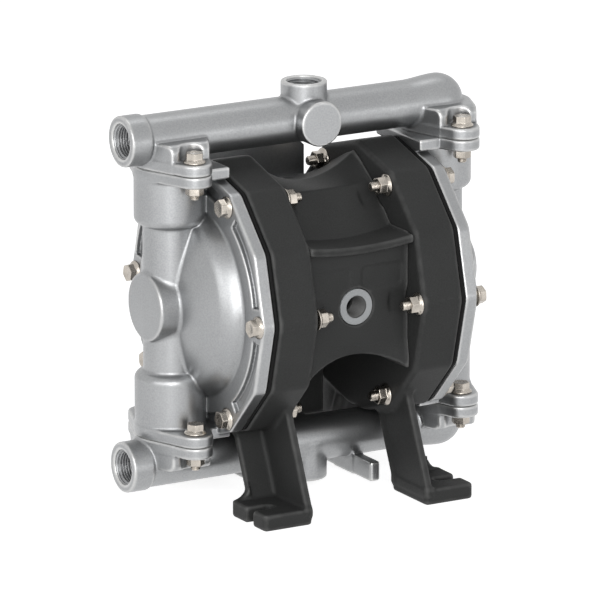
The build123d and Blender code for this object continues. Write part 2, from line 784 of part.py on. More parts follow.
def centre_core():
    """The waisted body between the two end faces."""
    stations = [centre_half * share for share in (-1, -0.66, -0.33, 0, 0.33, 0.66, 1)]
    sections = [side_plane(x) * profile(centre_section(x)) for x in stations]
    return loft(sections)


def centre_housing():
    """The centre housing with its bores, pockets and screw holes."""
    body = centre_core()
    for side in (-1, 1):
        end = side * centre_half
        front, front_top, rear_top = body_bolt_places()[:3]
        for y, z in (front, front_top):
            body -= rod(nut_scoop_r, centre_half, (side * nut_pocket_x, y, z), (side, 0, 0))
        y, z = rear_top
        body -= rod(nut_pocket_r, centre_half, (side * nut_pocket_x, y, z), (side, 0, 0))
        x_low, x_high = sorted((side * nut_pocket_x, side * (centre_half + 1)))
        body -= block((x_low, y - nut_pocket_r, z), (x_high, y + nut_pocket_r, z + 2 * nut_pocket_r))
        x_low, x_high = sorted((end - side * gasket_thickness, end + side))
        body -= rod(gasket_r, x_high - x_low, (x_low, 0, shaft_z), (1, 0, 0))
        for y, z in cap_screw_places():
            body -= rod(cap_screw_r, cap_screw_depth + 1, (end, y, z), (-side, 0, 0))
        body -= rod(bushing_r, bushing_length + seal_width, (end - side * gasket_thickness, 0, shaft_z),
                    (-side, 0, 0))
        body -= rod(pilot_bushing_r, pilot_bushing_length, (end - side * gasket_thickness, pilot_y, shaft_z),
                    (-side, 0, 0))
        panel_x = sorted((side * panel_inner_x, side * panel_outer_x))
        panel = block((panel_x[0], -face_y - 1, shaft_z + panel_low),
                      (panel_x[1], -face_y + panel_depth, shaft_z + panel_high))
        body -= fillet(panel.edges().filter_by(Axis.Y), panel_round)
    body -= rod(shaft_r + rod_hole_gap, 2 * centre_half + 2, (-centre_half - 1, 0, shaft_z), (1, 0, 0))
    body -= rod(pilot_r + rod_hole_gap / 2, 2 * centre_half + 2, (-centre_half - 1, pilot_y, shaft_z),
                (1, 0, 0))
    body -= rod(inlet_ring_r, inlet_ring_length, (0, -face_y, shaft_z), (0, 1, 0))
    body -= rod(inlet_passage_mouth_r, inlet_passage_depth, (0, -face_y, shaft_z), (0, 1, 0))
    riser_y = -face_y + inlet_passage_depth - inlet_passage_r
    body -= rod(inlet_passage_r, inlet_riser_rise, (0, riser_y, shaft_z), (0, 0, 1))
    body -= rod(inlet_passage_r, rear_y - riser_y + 1, (0, riser_y, shaft_z + inlet_riser_rise), (0, 1, 0))
    body -= rod(muffler_neck_r, muffler_neck_length + 1, (0, rear_y + 1, shaft_z + muffler_z), (0, -1, 0))
    for x, z in valve_screw_places():
        body -= rod(valve_screw_r, cap_screw_depth + 1, (x, rear_y + 1, z), (0, -1, 0))
    return body


def air_inlet_bushing():
    """The threaded ring in the front face."""
    body = rod(inlet_ring_r, inlet_ring_length, (0, -face_y, shaft_z), (0, 1, 0))
    body -= rod(inlet_bore_r, inlet_ring_length + 2, (0, -face_y - 1, shaft_z), (0, 1, 0))
    return body - port_mouth(inlet_bore_r, (0, -face_y, shaft_z), (0, 1, 0))


def centre_gasket():
    """The right-hand gasket between the centre housing and its air cap."""
    base = centre_half - gasket_thickness
    body = rod(gasket_r, gasket_thickness, (base, 0, shaft_z), (1, 0, 0))
    body -= rod(bushing_r, gasket_thickness + 2, (base - 1, 0, shaft_z), (1, 0, 0))
    body -= rod(pilot_bushing_r, gasket_thickness + 2, (base - 1, pilot_y, shaft_z), (1, 0, 0))
    for y, z in cap_screw_places():
        body -= rod(cap_screw_r + screw_gap, gasket_thickness + 2, (base - 1, y, z), (1, 0, 0))
    return body


# Air valve: body, gasket, sleeve, spool, end caps and muffler
def valve_block(x_low, x_high):
    """The air valve's YZ block with a step at its front and rounded rear corners."""
    sketch = profile([
        (valve_front_y, shaft_z + valve_low),
        (valve_front_y, shaft_z + rear_top_z),
        (valve_front_y + valve_step, shaft_z + rear_top_z),
        (valve_front_y + valve_step, shaft_z + valve_high),
        (valve_rear_y, shaft_z + valve_high),
        (valve_rear_y, shaft_z + valve_low),
    ])
    rear = sketch.vertices().sort_by(Axis.X)[-2:]
    return slab(fillet(rear, valve_round), x_low, x_high)


def valve_screw_places():
    """X and Z of the screws that hold the air valve to the centre housing."""
    heights = (shaft_z + valve_screw_low_z, shaft_z + valve_screw_high_z)
    return [(side * valve_screw_x, z) for side in (-1, 1) for z in heights]


def valve_cap_screw_places():
    """Y and Z of the screws that hold a valve end cap."""
    inset = valve_cap_screw_inset
    ys = (valve_front_y + valve_step + inset, valve_rear_y - inset)
    zs = (shaft_z + valve_low + inset, shaft_z + valve_high - inset)
    return [(y, z) for y in ys for z in zs]


def air_valve_body():
    """The block that holds the sleeve and spool."""
    body = valve_block(-valve_body_half, valve_body_half)
    body -= rod(sleeve_r, 2 * valve_body_half + 2, (-valve_body_half - 1, spool_y, shaft_z + spool_z), (1, 0, 0))
    supply_z = shaft_z + inlet_riser_rise
    body -= rod(inlet_passage_r, spool_y - valve_front_y, (0, valve_front_y - 1, supply_z), (0, 1, 0))
    body -= rod(inlet_passage_r, shaft_z + spool_z - supply_z, (0, spool_y, supply_z), (0, 0, 1))
    for x, z in valve_screw_places():
        body -= rod(valve_screw_r + screw_gap, valve_depth + 2, (x, valve_front_y - 1, z), (0, 1, 0))
        head_low = valve_rear_y - cap_screw_head_height - valve_screw_sink
        body -= rod(cap_screw_head_r + screw_gap, cap_screw_head_height + 2, (x, head_low, z), (0, 1, 0))
    for side in (-1, 1):
        for y, z in valve_cap_screw_places():
            body -= rod(cap_screw_r, valve_cap_screw_depth + 1, (side * valve_body_half, y, z), (-side, 0, 0))
    return body


def valve_sleeve():
    """The ported liner that the spool runs in."""
    body = rod(sleeve_r, 2 * valve_body_half, (-valve_body_half, spool_y, shaft_z + spool_z), (1, 0, 0))
    bore_r = sleeve_bore_r + spool_gap
    body -= rod(bore_r, 2 * valve_body_half + 2, (-valve_body_half - 1, spool_y, shaft_z + spool_z), (1, 0, 0))
    for x in (-1.3 * land_width, 0, 1.3 * land_width):
        body -= rod(land_width / 3, 2 * sleeve_r, (x, spool_y, shaft_z + spool_z), (0, 0, -1))
    return body


def valve_spool():
    """The spool, with three lands on a thin neck."""
    axis_z = shaft_z + spool_z
    body = rod(spool_neck_r, 2 * spool_half, (-spool_half, spool_y, axis_z), (1, 0, 0))
    for start in (-spool_half, -land_width / 2, spool_half - land_width):
        body += rod(sleeve_bore_r, land_width, (start, spool_y, axis_z), (1, 0, 0))
    return body


def valve_cap():
    """The right-hand end cap of the air valve."""
    body = valve_block(valve_body_half, valve_body_half + valve_cap_thickness)
    lower_edge = body.edges().filter_by(Axis.Y).group_by(Axis.Z)[0].sort_by(Axis.X)[-1]
    body = chamfer(lower_edge, valve_cap_thickness * 0.6)
    groove_r = sleeve_r + cap_ring_groove
    body -= rod(groove_r, cap_ring_groove, (valve_body_half, spool_y, shaft_z + spool_z), (1, 0, 0))
    for y, z in valve_cap_screw_places():
        body -= rod(cap_screw_r + screw_gap, valve_cap_thickness + 2, (valve_body_half - 1, y, z), (1, 0, 0))
        head_low = valve_body_half + valve_cap_thickness - cap_screw_head_height - valve_screw_sink
        body -= rod(cap_screw_head_r + screw_gap, 2 * valve_cap_thickness, (head_low, y, z), (1, 0, 0))
    return body


def valve_cap_ring():
    """The right-hand O-ring between the air valve body and its end cap."""
    minor = cap_ring_groove / 2 - 0.03
    centre = (valve_body_half + cap_ring_groove / 2, spool_y, shaft_z + spool_z)
    return Plane(origin=centre, z_dir=(1, 0, 0)) * ring(sleeve_r + cap_ring_groove / 2, minor)


def valve_gasket():
    """The gasket between the centre housing and the air valve."""
    body = block((-valve_body_half, rear_y, shaft_z + valve_low),
                 (valve_body_half, valve_front_y, shaft_z + rear_top_z))
    supply_z = shaft_z + inlet_riser_rise
    body -= rod(inlet_passage_r, valve_gasket_thickness + 2, (0, rear_y - 1, supply_z), (0, 1, 0))
    for x, z in valve_screw_places():
        body -= rod(valve_screw_r + screw_gap, valve_gasket_thickness + 2, (x, rear_y - 1, z), (0, 1, 0))
    return body


def muffler():
    """The exhaust muffler, screwed into the centre housing's rear face."""
    axis_z = shaft_z + muffler_z
    neck = rod(muffler_neck_r, muffler_neck_length, (0, rear_y, axis_z), (0, -1, 0))
    collar = extrude(Plane(origin=(0, rear_y, axis_z), z_dir=(0, 1, 0))
                     * RegularPolygon(muffler_r - 0.6, 6, major_radius=False), muffler_collar_height)
    can = rod(muffler_r - 1, muffler_length - muffler_collar_height,
              (0, rear_y + muffler_collar_height, axis_z), (0, 1, 0))
    can = fillet(can.edges().group_by(Axis.Y)[-1], muffler_round)
    bore = rod(muffler_neck_r - 2, muffler_length, (0, rear_y - muffler_neck_length - 1, axis_z), (0, 1, 0))
    return neck + collar + can - bore


# Fastener groups
def body_bolts():
    """The right-hand body bolts."""
    reach = head_x - centre_half + nut_height + bolt_tip
    bolt = flanged_bolt(reach)
    return group([Plane(origin=(head_x, y, z), x_dir=(0, 1, 0), z_dir=(1, 0, 0)) * bolt
                  for y, z in body_bolt_places()])


def body_nuts():
    """The right-hand body nuts, on the air cap's inner face."""
    nut = flanged_nut(nut_height)
    return group([Plane(origin=(centre_half, y, z), x_dir=(0, 1, 0), z_dir=(-1, 0, 0)) * nut
                  for y, z in body_bolt_places()])


def joint_places():
    """X and Y of the four bolts of one manifold."""
    return [(side * tower_x, front * lobe_y) for side in (-1, 1) for front in (-1, 1)]


def manifold_bolts(top_z):
    """The four bolts of one manifold, with their heads on top of the joint."""
    bolt = flanged_bolt(2 * joint_plate + plain_nut_height + joint_bolt_tip)
    return group([Plane(origin=(x, y, top_z), z_dir=(0, 0, 1)) * bolt for x, y in joint_places()])


def manifold_nuts(under_z):
    """The four nuts of one manifold, below the joint."""
    nut = plain_nut(plain_nut_height)
    return group([Plane(origin=(x, y, under_z), z_dir=(0, 0, -1)) * nut for x, y in joint_places()])


def air_cap_screws():
    """The right-hand screws that hold the air cap to the centre housing."""
    screw = socket_screw(cap_screw_seat_x - centre_half + cap_screw_depth - 2)
    return group([Plane(origin=(cap_screw_seat_x, y, z), z_dir=(1, 0, 0)) * screw
                  for y, z in cap_screw_places()])


def air_valve_screws():
    """The four screws that hold the air valve to the centre housing."""
    head_y = valve_rear_y - cap_screw_head_height - valve_screw_sink
    screw = socket_screw(head_y - rear_y + cap_screw_depth - 2)
    return group([Plane(origin=(x, head_y, z), z_dir=(0, 1, 0)) * screw for x, z in valve_screw_places()])


def valve_cap_screws():
    """The eight screws that hold the air valve's end caps."""
    head_x_low = valve_body_half + valve_cap_thickness - cap_screw_head_height - valve_screw_sink
    screw = socket_screw(head_x_low - valve_body_half + valve_cap_screw_depth)
    return group([Plane(origin=(side * head_x_low, y, z), z_dir=(side, 0, 0)) * screw
                  for side in (-1, 1) for y, z in valve_cap_screw_places()])


nodes = {
    "centre_housing": centre_housing(),
    "air_inlet_bushing": air_inlet_bushing(),
    "outlet_manifold": manifold(outlet_z, True),
    "inlet_manifold": manifold(inlet_z, False),
    "diaphragm_shaft": diaphragm_shaft(),
    "pilot_rod": pilot_rod(),
    "air_valve_body": air_valve_body(),
    "air_valve_gasket": valve_gasket(),
    "valve_sleeve": valve_sleeve(),
    "valve_spool": valve_spool(),
    "valve_cap_screws": valve_cap_screws(),
    "air_valve_screws": air_valve_screws(),
    "muffler": muffler(),
    "outlet_manifold_bolts": manifold_bolts(outlet_joint_z + joint_plate),
    "outlet_manifold_nuts": manifold_nuts(outlet_joint_z - joint_plate),
    "inlet_manifold_bolts": manifold_bolts(inlet_joint_z + joint_plate),
    "inlet_manifold_nuts": manifold_nuts(inlet_joint_z - joint_plate),
}

# Pieces that come as a left and right pair
pairs = {
    "air_cap": air_cap(),
    "fluid_cap": fluid_cap(),
    "diaphragm": diaphragm(),
    "inner_plate": plate(rim_x - plate_thickness),
    "outer_plate": plate(fluid_x),
    "plate_bolt": plate_bolt(),
    "shaft_bushing": shaft_bushing(),
    "shaft_seal": shaft_seal(),
    "pilot_bushing": pilot_bushing(),
    "centre_gasket": centre_gasket(),
    "air_cap_screws": air_cap_screws(),
    "body_bolts": body_bolts(),
    "body_nuts": body_nuts(),
    "valve_cap": valve_cap(),
    "valve_cap_ring": valve_cap_ring(),
    "inlet_seat": seat(inlet_joint_z, inlet_ball_z()),
    "outlet_seat": seat(outlet_joint_z, outlet_ball_z()),
    "inlet_seat_ring": seat_ring(inlet_joint_z),
    "outlet_seat_ring": seat_ring(outlet_joint_z),
    "inlet_ball": Pos(tower_x, 0, inlet_ball_z()) * Sphere(ball_r),
    "outlet_ball": Pos(tower_x, 0, outlet_ball_z()) * Sphere(ball_r),
}
for name, shape in pairs.items():
    nodes["right_" + name] = shape
    nodes["left_" + name] = mirrored(shape)

os.makedirs("parts", exist_ok=True)
for name, shape in nodes.items():
    export_step(shape, "parts/" + name + ".step")
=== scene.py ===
import json
import math

import bpy
import numpy as np
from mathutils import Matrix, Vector


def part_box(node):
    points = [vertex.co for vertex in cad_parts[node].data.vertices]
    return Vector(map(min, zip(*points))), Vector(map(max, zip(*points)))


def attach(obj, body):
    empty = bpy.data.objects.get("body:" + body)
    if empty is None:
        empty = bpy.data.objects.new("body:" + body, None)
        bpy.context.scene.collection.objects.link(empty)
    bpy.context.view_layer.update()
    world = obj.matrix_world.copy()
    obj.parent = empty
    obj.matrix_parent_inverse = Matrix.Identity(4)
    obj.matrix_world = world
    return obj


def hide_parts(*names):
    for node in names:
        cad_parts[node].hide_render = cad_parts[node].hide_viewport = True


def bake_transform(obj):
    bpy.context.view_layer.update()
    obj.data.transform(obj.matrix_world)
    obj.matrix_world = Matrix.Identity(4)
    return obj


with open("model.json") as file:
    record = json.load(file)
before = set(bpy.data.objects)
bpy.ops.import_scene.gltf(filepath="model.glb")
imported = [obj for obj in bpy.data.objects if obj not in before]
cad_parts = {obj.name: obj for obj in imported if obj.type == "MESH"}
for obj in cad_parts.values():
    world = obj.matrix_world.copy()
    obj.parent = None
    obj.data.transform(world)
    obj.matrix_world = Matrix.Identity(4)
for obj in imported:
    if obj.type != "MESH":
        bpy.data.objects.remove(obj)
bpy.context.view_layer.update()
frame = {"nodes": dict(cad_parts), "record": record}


# Centre housing
# A charcoal coated casting that holds the shaft, the air inlet and the air passages. Its ends are
# machined flat for the air caps; the rest is as cast, waisted at the saddle and under the arch.
def corners_of(node):
    """Lowest and highest corner of a frame node, in millimetres."""
    low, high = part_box(node)
    return np.array(low) * 1000, np.array(high) * 1000


shaft_low, shaft_high = corners_of("diaphragm_shaft")
shaft_z = (shaft_low[2] + shaft_high[2]) / 2
centre_low, centre_high = corners_of("centre_housing")
centre_half = centre_high[0]
shaft_r = (shaft_high[2] - shaft_low[2]) / 2
pilot_y = (corners_of("pilot_rod")[0][1] + corners_of("pilot_rod")[1][1]) / 2

face_y = 64.6
face_top = 34.0
face_bottom = -24.0
lip_y = 70.2
lip_run_out = 2.2
lip_low = 34.6
lip_high = 39.6
lip_sag = 3.4
facet_lean = math.tan(math.radians(43.7))
crease = (-22.5, 65.3)
flare_r = 3.6
saddle_up = 66.9
saddle_end_up = 82.0
arch_front = 62.0
arch_end_front = 68.0
arch_up = 31.0
arch_end_up = 43.5
rear_y = 57.0
rear_top = 52.5
rear_bottom = -41.0
apron = (38.0, 46.0, -97.0)
bolt_circle_r = 77.2
bolt_angles = np.radians((0, 60, 120, 180, 222, 300))
nut_pocket_r = 9.2
nut_pocket_x = 22.8
nut_scoop_r = 14.0
panel_x = (4.0, 32.3)
panel_up = (11.0, 25.0)
panel_depth = 0.6
panel_round = 3.0
inlet_ring_r = 11.45
inlet_ring_length = 16.0
inlet_passage_r = 5.6
inlet_passage_depth = 34.0
gasket_r = 33.0
bushing_r = 10.0
bushing_depth = 17.5
pilot_bushing_r = 4.0
pilot_bushing_depth = 12.5
cap_screw_circle_r = 26.0
screw_reach = cap_screw_circle_r * math.sqrt(0.5)
cap_screw_r = 2.5
cap_screw_depth = 15.0
muffler_up = -22.0
muffler_neck = (8.2, 10.0)


def join(a, b, r):
    """Union of two distance fields with a hollow fillet of radius r between them."""
    return np.maximum(r, np.minimum(a, b)) - np.hypot(np.maximum(r - a, 0), np.maximum(r - b, 0))


def trim(a, b, r):
    """Where two distance fields overlap, with the edge between them rounded to r."""
    return np.minimum(-r, np.maximum(a, b)) + np.hypot(np.maximum(r + a, 0), np.maximum(r + b, 0))


def cut(a, b, r=0.4):
    """The first field without the second, with the edge between them rounded to r."""
    return trim(a, -b, r)


def between(v, low, high):
    """Distance from the layer between two values, negative inside."""
    return np.abs(v - (low + high) / 2) - abs(high - low) / 2


def round_bar(u, v, w, r, low, high):
    """Distance from a round bar about the w axis, from low to high."""
    return np.maximum(np.hypot(u, v) - r, between(w, low, high))


def polygon(u, v, corners):
    """Distance from a polygon whose corners may shift along the piece.

    The nearest side gives the size, and the count of sides crossed to the right gives the sign.
    """
    nearest = np.full(u.shape, 1e9)
    inside = np.zeros(u.shape, bool)
    for (au, av), (bu, bv) in zip(corners, corners[1:] + corners[:1]):
        du, dv = bu - au, bv - av
        share = np.clip(((u - au) * du + (v - av) * dv) / (du * du + dv * dv), 0, 1)
        nearest = np.minimum(nearest, (u - au - share * du) ** 2 + (v - av - share * dv) ** 2)
        crossed = u < au + du * (v - av) / (dv + 1e-9)
        inside ^= ((av > v) != (bv > v)) & crossed
    return np.where(inside, -1, 1) * np.sqrt(nearest)


def centre_housing_field(x, y, z):
    """The waisted body, cut by pockets, panels and bores."""
    up = z - shaft_z
    bow = np.minimum(np.abs(x) / centre_half, 1) ** 2
    lip_front = lip_y + lip_run_out * bow
    lift = lip_sag * bow
    arch_level = -(arch_up + (arch_end_up - arch_up) * bow)
    body = polygon(y, up, [
        (-face_y, face_bottom),
        (-face_y, face_top + lift),
        (-lip_front, lip_low + lift),
        (-lip_front, lip_high + lift),
        (-(-crease[0] + (crease[1] - lip_high - lift) * facet_lean), lip_high + lift),
        crease,
        (0.0, saddle_up + (saddle_end_up - saddle_up) * bow),
        (rear_y, rear_top),
        (rear_y, rear_bottom),
        (apron[1], rear_bottom),
        (apron[1], apron[2]),
        (apron[0], apron[2]),
        (apron[0], arch_level),
        (-(arch_front + (arch_end_front - arch_front) * bow), arch_level),
    ])
    side = np.abs(x)
    flange_face = np.maximum(centre_half - side, np.hypot(y, up) - bolt_circle_r)
    body = join(body, flange_face, flare_r)
    body = trim(body, side - centre_half, 0.3)
    across = y + bolt_circle_r * math.cos(bolt_angles[2])
    over = up - bolt_circle_r * math.sin(bolt_angles[2])
    pocket = np.hypot(across, np.minimum(over, 0)) - nut_pocket_r
    body = cut(body, trim(pocket, nut_pocket_x - side, 2.0), 1.2)
    for angle in bolt_angles[:2]:
        across = y + bolt_circle_r * math.cos(angle)
        over = up - bolt_circle_r * math.sin(angle)
        body = cut(body, trim(np.hypot(across, over) - nut_scoop_r, nut_pocket_x - side, 2.0), 1.0)
    panel = trim(between(side, *panel_x), between(up, *panel_up), panel_round)
    body = cut(body, np.maximum(panel, y + face_y - panel_depth), 0.3)
    inward = centre_half - side
    body = cut(body, np.maximum(np.hypot(y, up) - gasket_r, inward - 0.5))
    body = cut(body, np.maximum(np.hypot(y, up) - bushing_r, inward - bushing_depth))
    body = cut(body, np.hypot(y, up) - shaft_r - 1)
    body = cut(body, np.maximum(np.hypot(y - pilot_y, up) - pilot_bushing_r, inward - pilot_bushing_depth))
    body = cut(body, np.hypot(y - pilot_y, up) - 3)
    screw = np.hypot(np.abs(y) - screw_reach, np.abs(up) - screw_reach) - cap_screw_r
    body = cut(body, np.maximum(screw, inward - cap_screw_depth))
    front = y + face_y
    body = cut(body, np.maximum(np.hypot(x, up) - inlet_ring_r, front - inlet_ring_length), 0.5)
    body = cut(body, np.maximum(np.hypot(x, up) - inlet_passage_r, front - inlet_passage_depth))
    muffler_r, muffler_depth = muffler_neck
    body = cut(body, round_bar(x, up - muffler_up, y, muffler_r, rear_y - muffler_depth, rear_y + 5))
    return body


def softened(field, points, reach):
    """Mean of a field at the corners of a small cube round each point, and its slope."""
    total = np.zeros(len(points))
    slope = np.zeros(points.shape)
    for corner in np.ndindex(2, 2, 2):
        offset = 2 * np.array(corner) - 1
        value = field(*(points + offset * reach).T)
        total += value
        slope += value[:, None] * offset
    return total / 8, slope / (8 * reach)


def casting(field, low, high, step, reach, ease=0.5):
    """The skin of a distance field as points, quads, normals and an edge measure.

    Each cell of the grid that the skin passes through gets one point. The points slide down the
    slope of the softened field onto the skin, and each crossed grid edge gives one quad.
    """
    axes = [np.arange(a - 2.5 * step, b + 3.5 * step, step) for a, b in zip(low, high)]
    inside = field(*np.meshgrid(*axes, indexing="ij")) < 0
    count = np.zeros([n - 1 for n in inside.shape], int)
    for i, j, k in np.ndindex(2, 2, 2):
        count += inside[i:i - 1 or None, j:j - 1 or None, k:k - 1 or None]
    mixed = (count > 0) & (count < 8)
    number = np.full(mixed.shape, -1)
    number[mixed] = np.arange(mixed.sum())
    cells = np.argwhere(mixed)
    points = np.stack([axes[k][cells[:, k]] for k in range(3)], 1) + step / 2
    quads = []
    for axis in range(3):
        ahead = np.roll(inside, -1, axis)
        crossed = np.argwhere(inside != ahead)
        crossed = crossed[crossed[:, axis] < inside.shape[axis] - 1]
        starts_inside = inside[tuple(crossed.T)]
        u, v = (axis + 1) % 3, (axis + 2) % 3
        ring = []
        for back_u, back_v in ((1, 1), (0, 1), (0, 0), (1, 0)):
            cell = crossed.copy()
            cell[:, u] -= back_u
            cell[:, v] -= back_v
            ring.append(number[tuple(cell.T)])
        ring = np.stack(ring, 1)
        ring[~starts_inside] = ring[~starts_inside, ::-1]
        quads.append(ring)
    quads = np.concatenate(quads)
    for turn in range(3):
        for _ in range(2):
            value, slope = softened(field, points, reach)
            steep = np.maximum((slope ** 2).sum(1), 0.2)
            points -= np.clip(value / steep, -step, step)[:, None] * slope
        if turn < 2:
            total = np.zeros(points.shape)
            shares = np.zeros(len(points))
            for a in range(4):
                here, there = quads[:, a], quads[:, (a + 1) % 4]
                for k in range(3):
                    total[:, k] += np.bincount(here, points[there, k], len(points))
                    total[:, k] += np.bincount(there, points[here, k], len(points))
                shares += np.bincount(here, minlength=len(points)) + np.bincount(there, minlength=len(points))
            points += ease * (total / shares[:, None] - points)
    value, slope = softened(field, points, reach)
    normals = slope / np.maximum(np.linalg.norm(slope, axis=1), 1e-6)[:, None]
    edge = softened(field, points, 2.2 * reach)[0] / reach
    return points, quads, normals, edge


def stand(name, skin, material, body="housing", flip=False):
    """A smooth mesh object from a casting's skin, or from its left-hand twin."""
    points, quads, normals, edge = skin
    if flip:
        points, normals, quads = points * (-1, 1, 1), normals * (-1, 1, 1), quads[:, ::-1]
    mesh = bpy.data.meshes.new(name)
    mesh.vertices.add(len(points))
    mesh.vertices.foreach_set("co", (points / 1000).ravel())
    mesh.loops.add(quads.size)
    mesh.loops.foreach_set("vertex_index", quads.ravel())
    mesh.polygons.add(len(quads))
    mesh.polygons.foreach_set("loop_start", np.arange(len(quads)) * 4)
    mesh.update(calc_edges=True)
    mesh.polygons.foreach_set("use_smooth", np.ones(len(quads), bool))
    mesh.attributes.new("edge", "FLOAT", "POINT").data.foreach_set("value", edge)
    mesh.normals_split_custom_set_from_vertices(normals)
    mesh.materials.append(material)
    piece = bpy.data.objects.new(name, mesh)
    bpy.context.scene.collection.objects.link(piece)
    if body:
        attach(piece, body)
    return piece


def group_with(name, inputs, outputs):
    """A new shader node group with float inputs and outputs of the given kinds."""
    tree = bpy.data.node_groups.new(name, "ShaderNodeTree")
    for label, default in inputs.items():
        socket = tree.interface.new_socket(label, in_out="INPUT", socket_type="NodeSocketFloat")
        socket.default_value = default
    for label, kind in outputs.items():
        tree.interface.new_socket(label, in_out="OUTPUT", socket_type="NodeSocket" + kind)
    return tree, tree.nodes.new("NodeGroupInput"), tree.nodes.new("NodeGroupOutput")


def add(tree, kind, links=(), **settings):
    """A node with its settings, and links from other nodes' sockets into its inputs."""
    node = tree.nodes.new("ShaderNode" + kind)
    for label, value in settings.items():
        setattr(node, label, value)
    for socket, source in dict(links).items():
        if isinstance(source, (int, float, tuple)):
            node.inputs[socket].default_value = source
        else:
            tree.links.new(source, node.inputs[socket])
    return node


def cast_grain():
    """Fine blast grain and slow cloudiness, as a tone round 0.5 and a height."""
    tree, given, out = group_with("cast_grain", {"Grain": 900.0, "Cloud": 35.0, "Cloudiness": 0.3},
                                  {"Tone": "Float", "Height": "Float"})
    place = add(tree, "TexCoord").outputs["Object"]
    fine = add(tree, "TexNoise", {"Vector": place, "Scale": given.outputs["Grain"], "Detail": 2.0})
    cloud = add(tree, "TexNoise", {"Vector": place, "Scale": given.outputs["Cloud"], "Detail": 4.0})
    tone = add(tree, "Mix", {"Factor": given.outputs["Cloudiness"], "A": fine.outputs[0],
                             "B": cloud.outputs[0]})
    tree.links.new(tone.outputs["Result"], out.inputs["Tone"])
    tree.links.new(fine.outputs[0], out.inputs["Height"])
    return tree


def edge_wear():
    """Masks for a painted highlight on raised edges and for painted shade in hollows, from the mesh's edge
    attribute, broken up by noise.
    """
    tree, given, out = group_with("edge_wear", {"Start": 0.25, "Full": 1.0, "Break": 160.0},
                                  {"Raised": "Float", "Hollow": "Float"})
    edge = add(tree, "Attribute", attribute_name="edge").outputs["Fac"]
    place = add(tree, "TexCoord").outputs["Object"]
    noise = add(tree, "TexNoise", {"Vector": place, "Scale": given.outputs["Break"], "Detail": 3.0})
    shifted = add(tree, "Math", {0: noise.outputs[0], 1: -0.5}, operation="ADD").outputs[0]
    uneven = add(tree, "Math", {0: shifted, 1: 0.5, 2: edge}, operation="MULTIPLY_ADD").outputs[0]
    negative = add(tree, "Math", {0: edge, 1: -1.0}, operation="MULTIPLY").outputs[0]
    # Raised is the painted highlight mask and Hollow is the painted shade mask.
    for label, height in (("Raised", uneven), ("Hollow", negative)):
        mask = add(tree, "MapRange", {"Value": height, "From Min": given.outputs["Start"],
                                      "From Max": given.outputs["Full"]})
        tree.links.new(mask.outputs[0], out.inputs[label])
    return tree


grain_group = cast_grain()
painted_edge_group = edge_wear()


def blank(name):
    """A new material with its node tree and its Principled shader."""
    material = bpy.data.materials.new(name)
    material.use_nodes = True
    tree = material.node_tree
    return material, tree, tree.nodes["Principled BSDF"]


def grouped(tree, group, **values):
    """A group node in a material, with its own values."""
    node = tree.nodes.new("ShaderNodeGroup")
    node.node_tree = group
    for label, value in values.items():
        node.inputs[label].default_value = value
    return node


def two_tone(tree, value, low, dark, high, light):
    """A colour that goes from dark to light while a value goes from low to high."""
    ramp = add(tree, "ValToRGB", {"Fac": value})
    for number, (place, colour) in enumerate(((low, dark), (high, light))):
        element = ramp.color_ramp.elements[number]
        element.position, element.color = place, (*colour, 1)
    return ramp.outputs["Color"]


def surface(tree, shader, colour, tone, rough, height, depth):
    """Gives a shader its colour, a roughness that follows a tone, and dents of a depth."""
    tree.links.new(colour, shader.inputs["Base Color"])
    gloss = add(tree, "MapRange", {"Value": tone, "From Min": 0.3, "From Max": 0.7,
                                   "To Min": rough[0], "To Max": rough[1]})
    tree.links.new(gloss.outputs[0], shader.inputs["Roughness"])
    dent = add(tree, "Bump", {"Strength": 1.0, "Distance": depth, "Height": height})
    tree.links.new(dent.outputs["Normal"], shader.inputs["Normal"])


def cast_metal(name, dark, mid, light, metallic, rough, grain, bump, painted_edge_start):
    """Blasted or coated casting: grained tone, a painted highlight on raised edges and painted shade in
    hollows.
    """
    material, tree, shader = blank(name)
    grain_node = grouped(tree, grain_group, Grain=grain, Cloud=30.0, Cloudiness=0.35)
    painted_edge_node = grouped(tree, painted_edge_group, Start=painted_edge_start, Full=painted_edge_start + 0.75, Break=150.0)
    tone = grain_node.outputs["Tone"]
    colour = two_tone(tree, tone, 0.3, dark, 0.7, mid)
    # Raised edges are lightened as a painted highlight and hollows are darkened as painted shade.
    for mask, share, over in (("Raised", 0.8, light), ("Hollow", 0.5, [0.5 * c for c in dark])):
        covered = add(tree, "Math", {0: painted_edge_node.outputs[mask], 1: share}, operation="MULTIPLY").outputs[0]
        mix = add(tree, "Mix", {"Factor": covered, "A": colour, "B": (*over, 1)}, data_type="RGBA")
        colour = mix.outputs["Result"]
    surface(tree, shader, colour, tone, (rough + 0.06, rough - 0.06), grain_node.outputs["Height"], bump)
    shader.inputs["Metallic"].default_value = metallic
    return material


# The third colour is the painted highlight on raised edges; 0.36 is where the painted highlight and shade
# masks start.
charcoal = cast_metal("charcoal_casting", (0.023, 0.0235, 0.023), (0.033, 0.0335, 0.033), (0.1, 0.1, 0.098),
                      0.0, 0.52, 1300.0, 0.00005, 0.36)
charcoal.node_tree.nodes["Principled BSDF"].inputs["Specular IOR Level"].default_value = 0.16
centre_skin = casting(centre_housing_field, centre_low, centre_high, 1.2, 0.7)
centre_piece = stand("centre_casting", centre_skin, charcoal)
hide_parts("centre_housing")


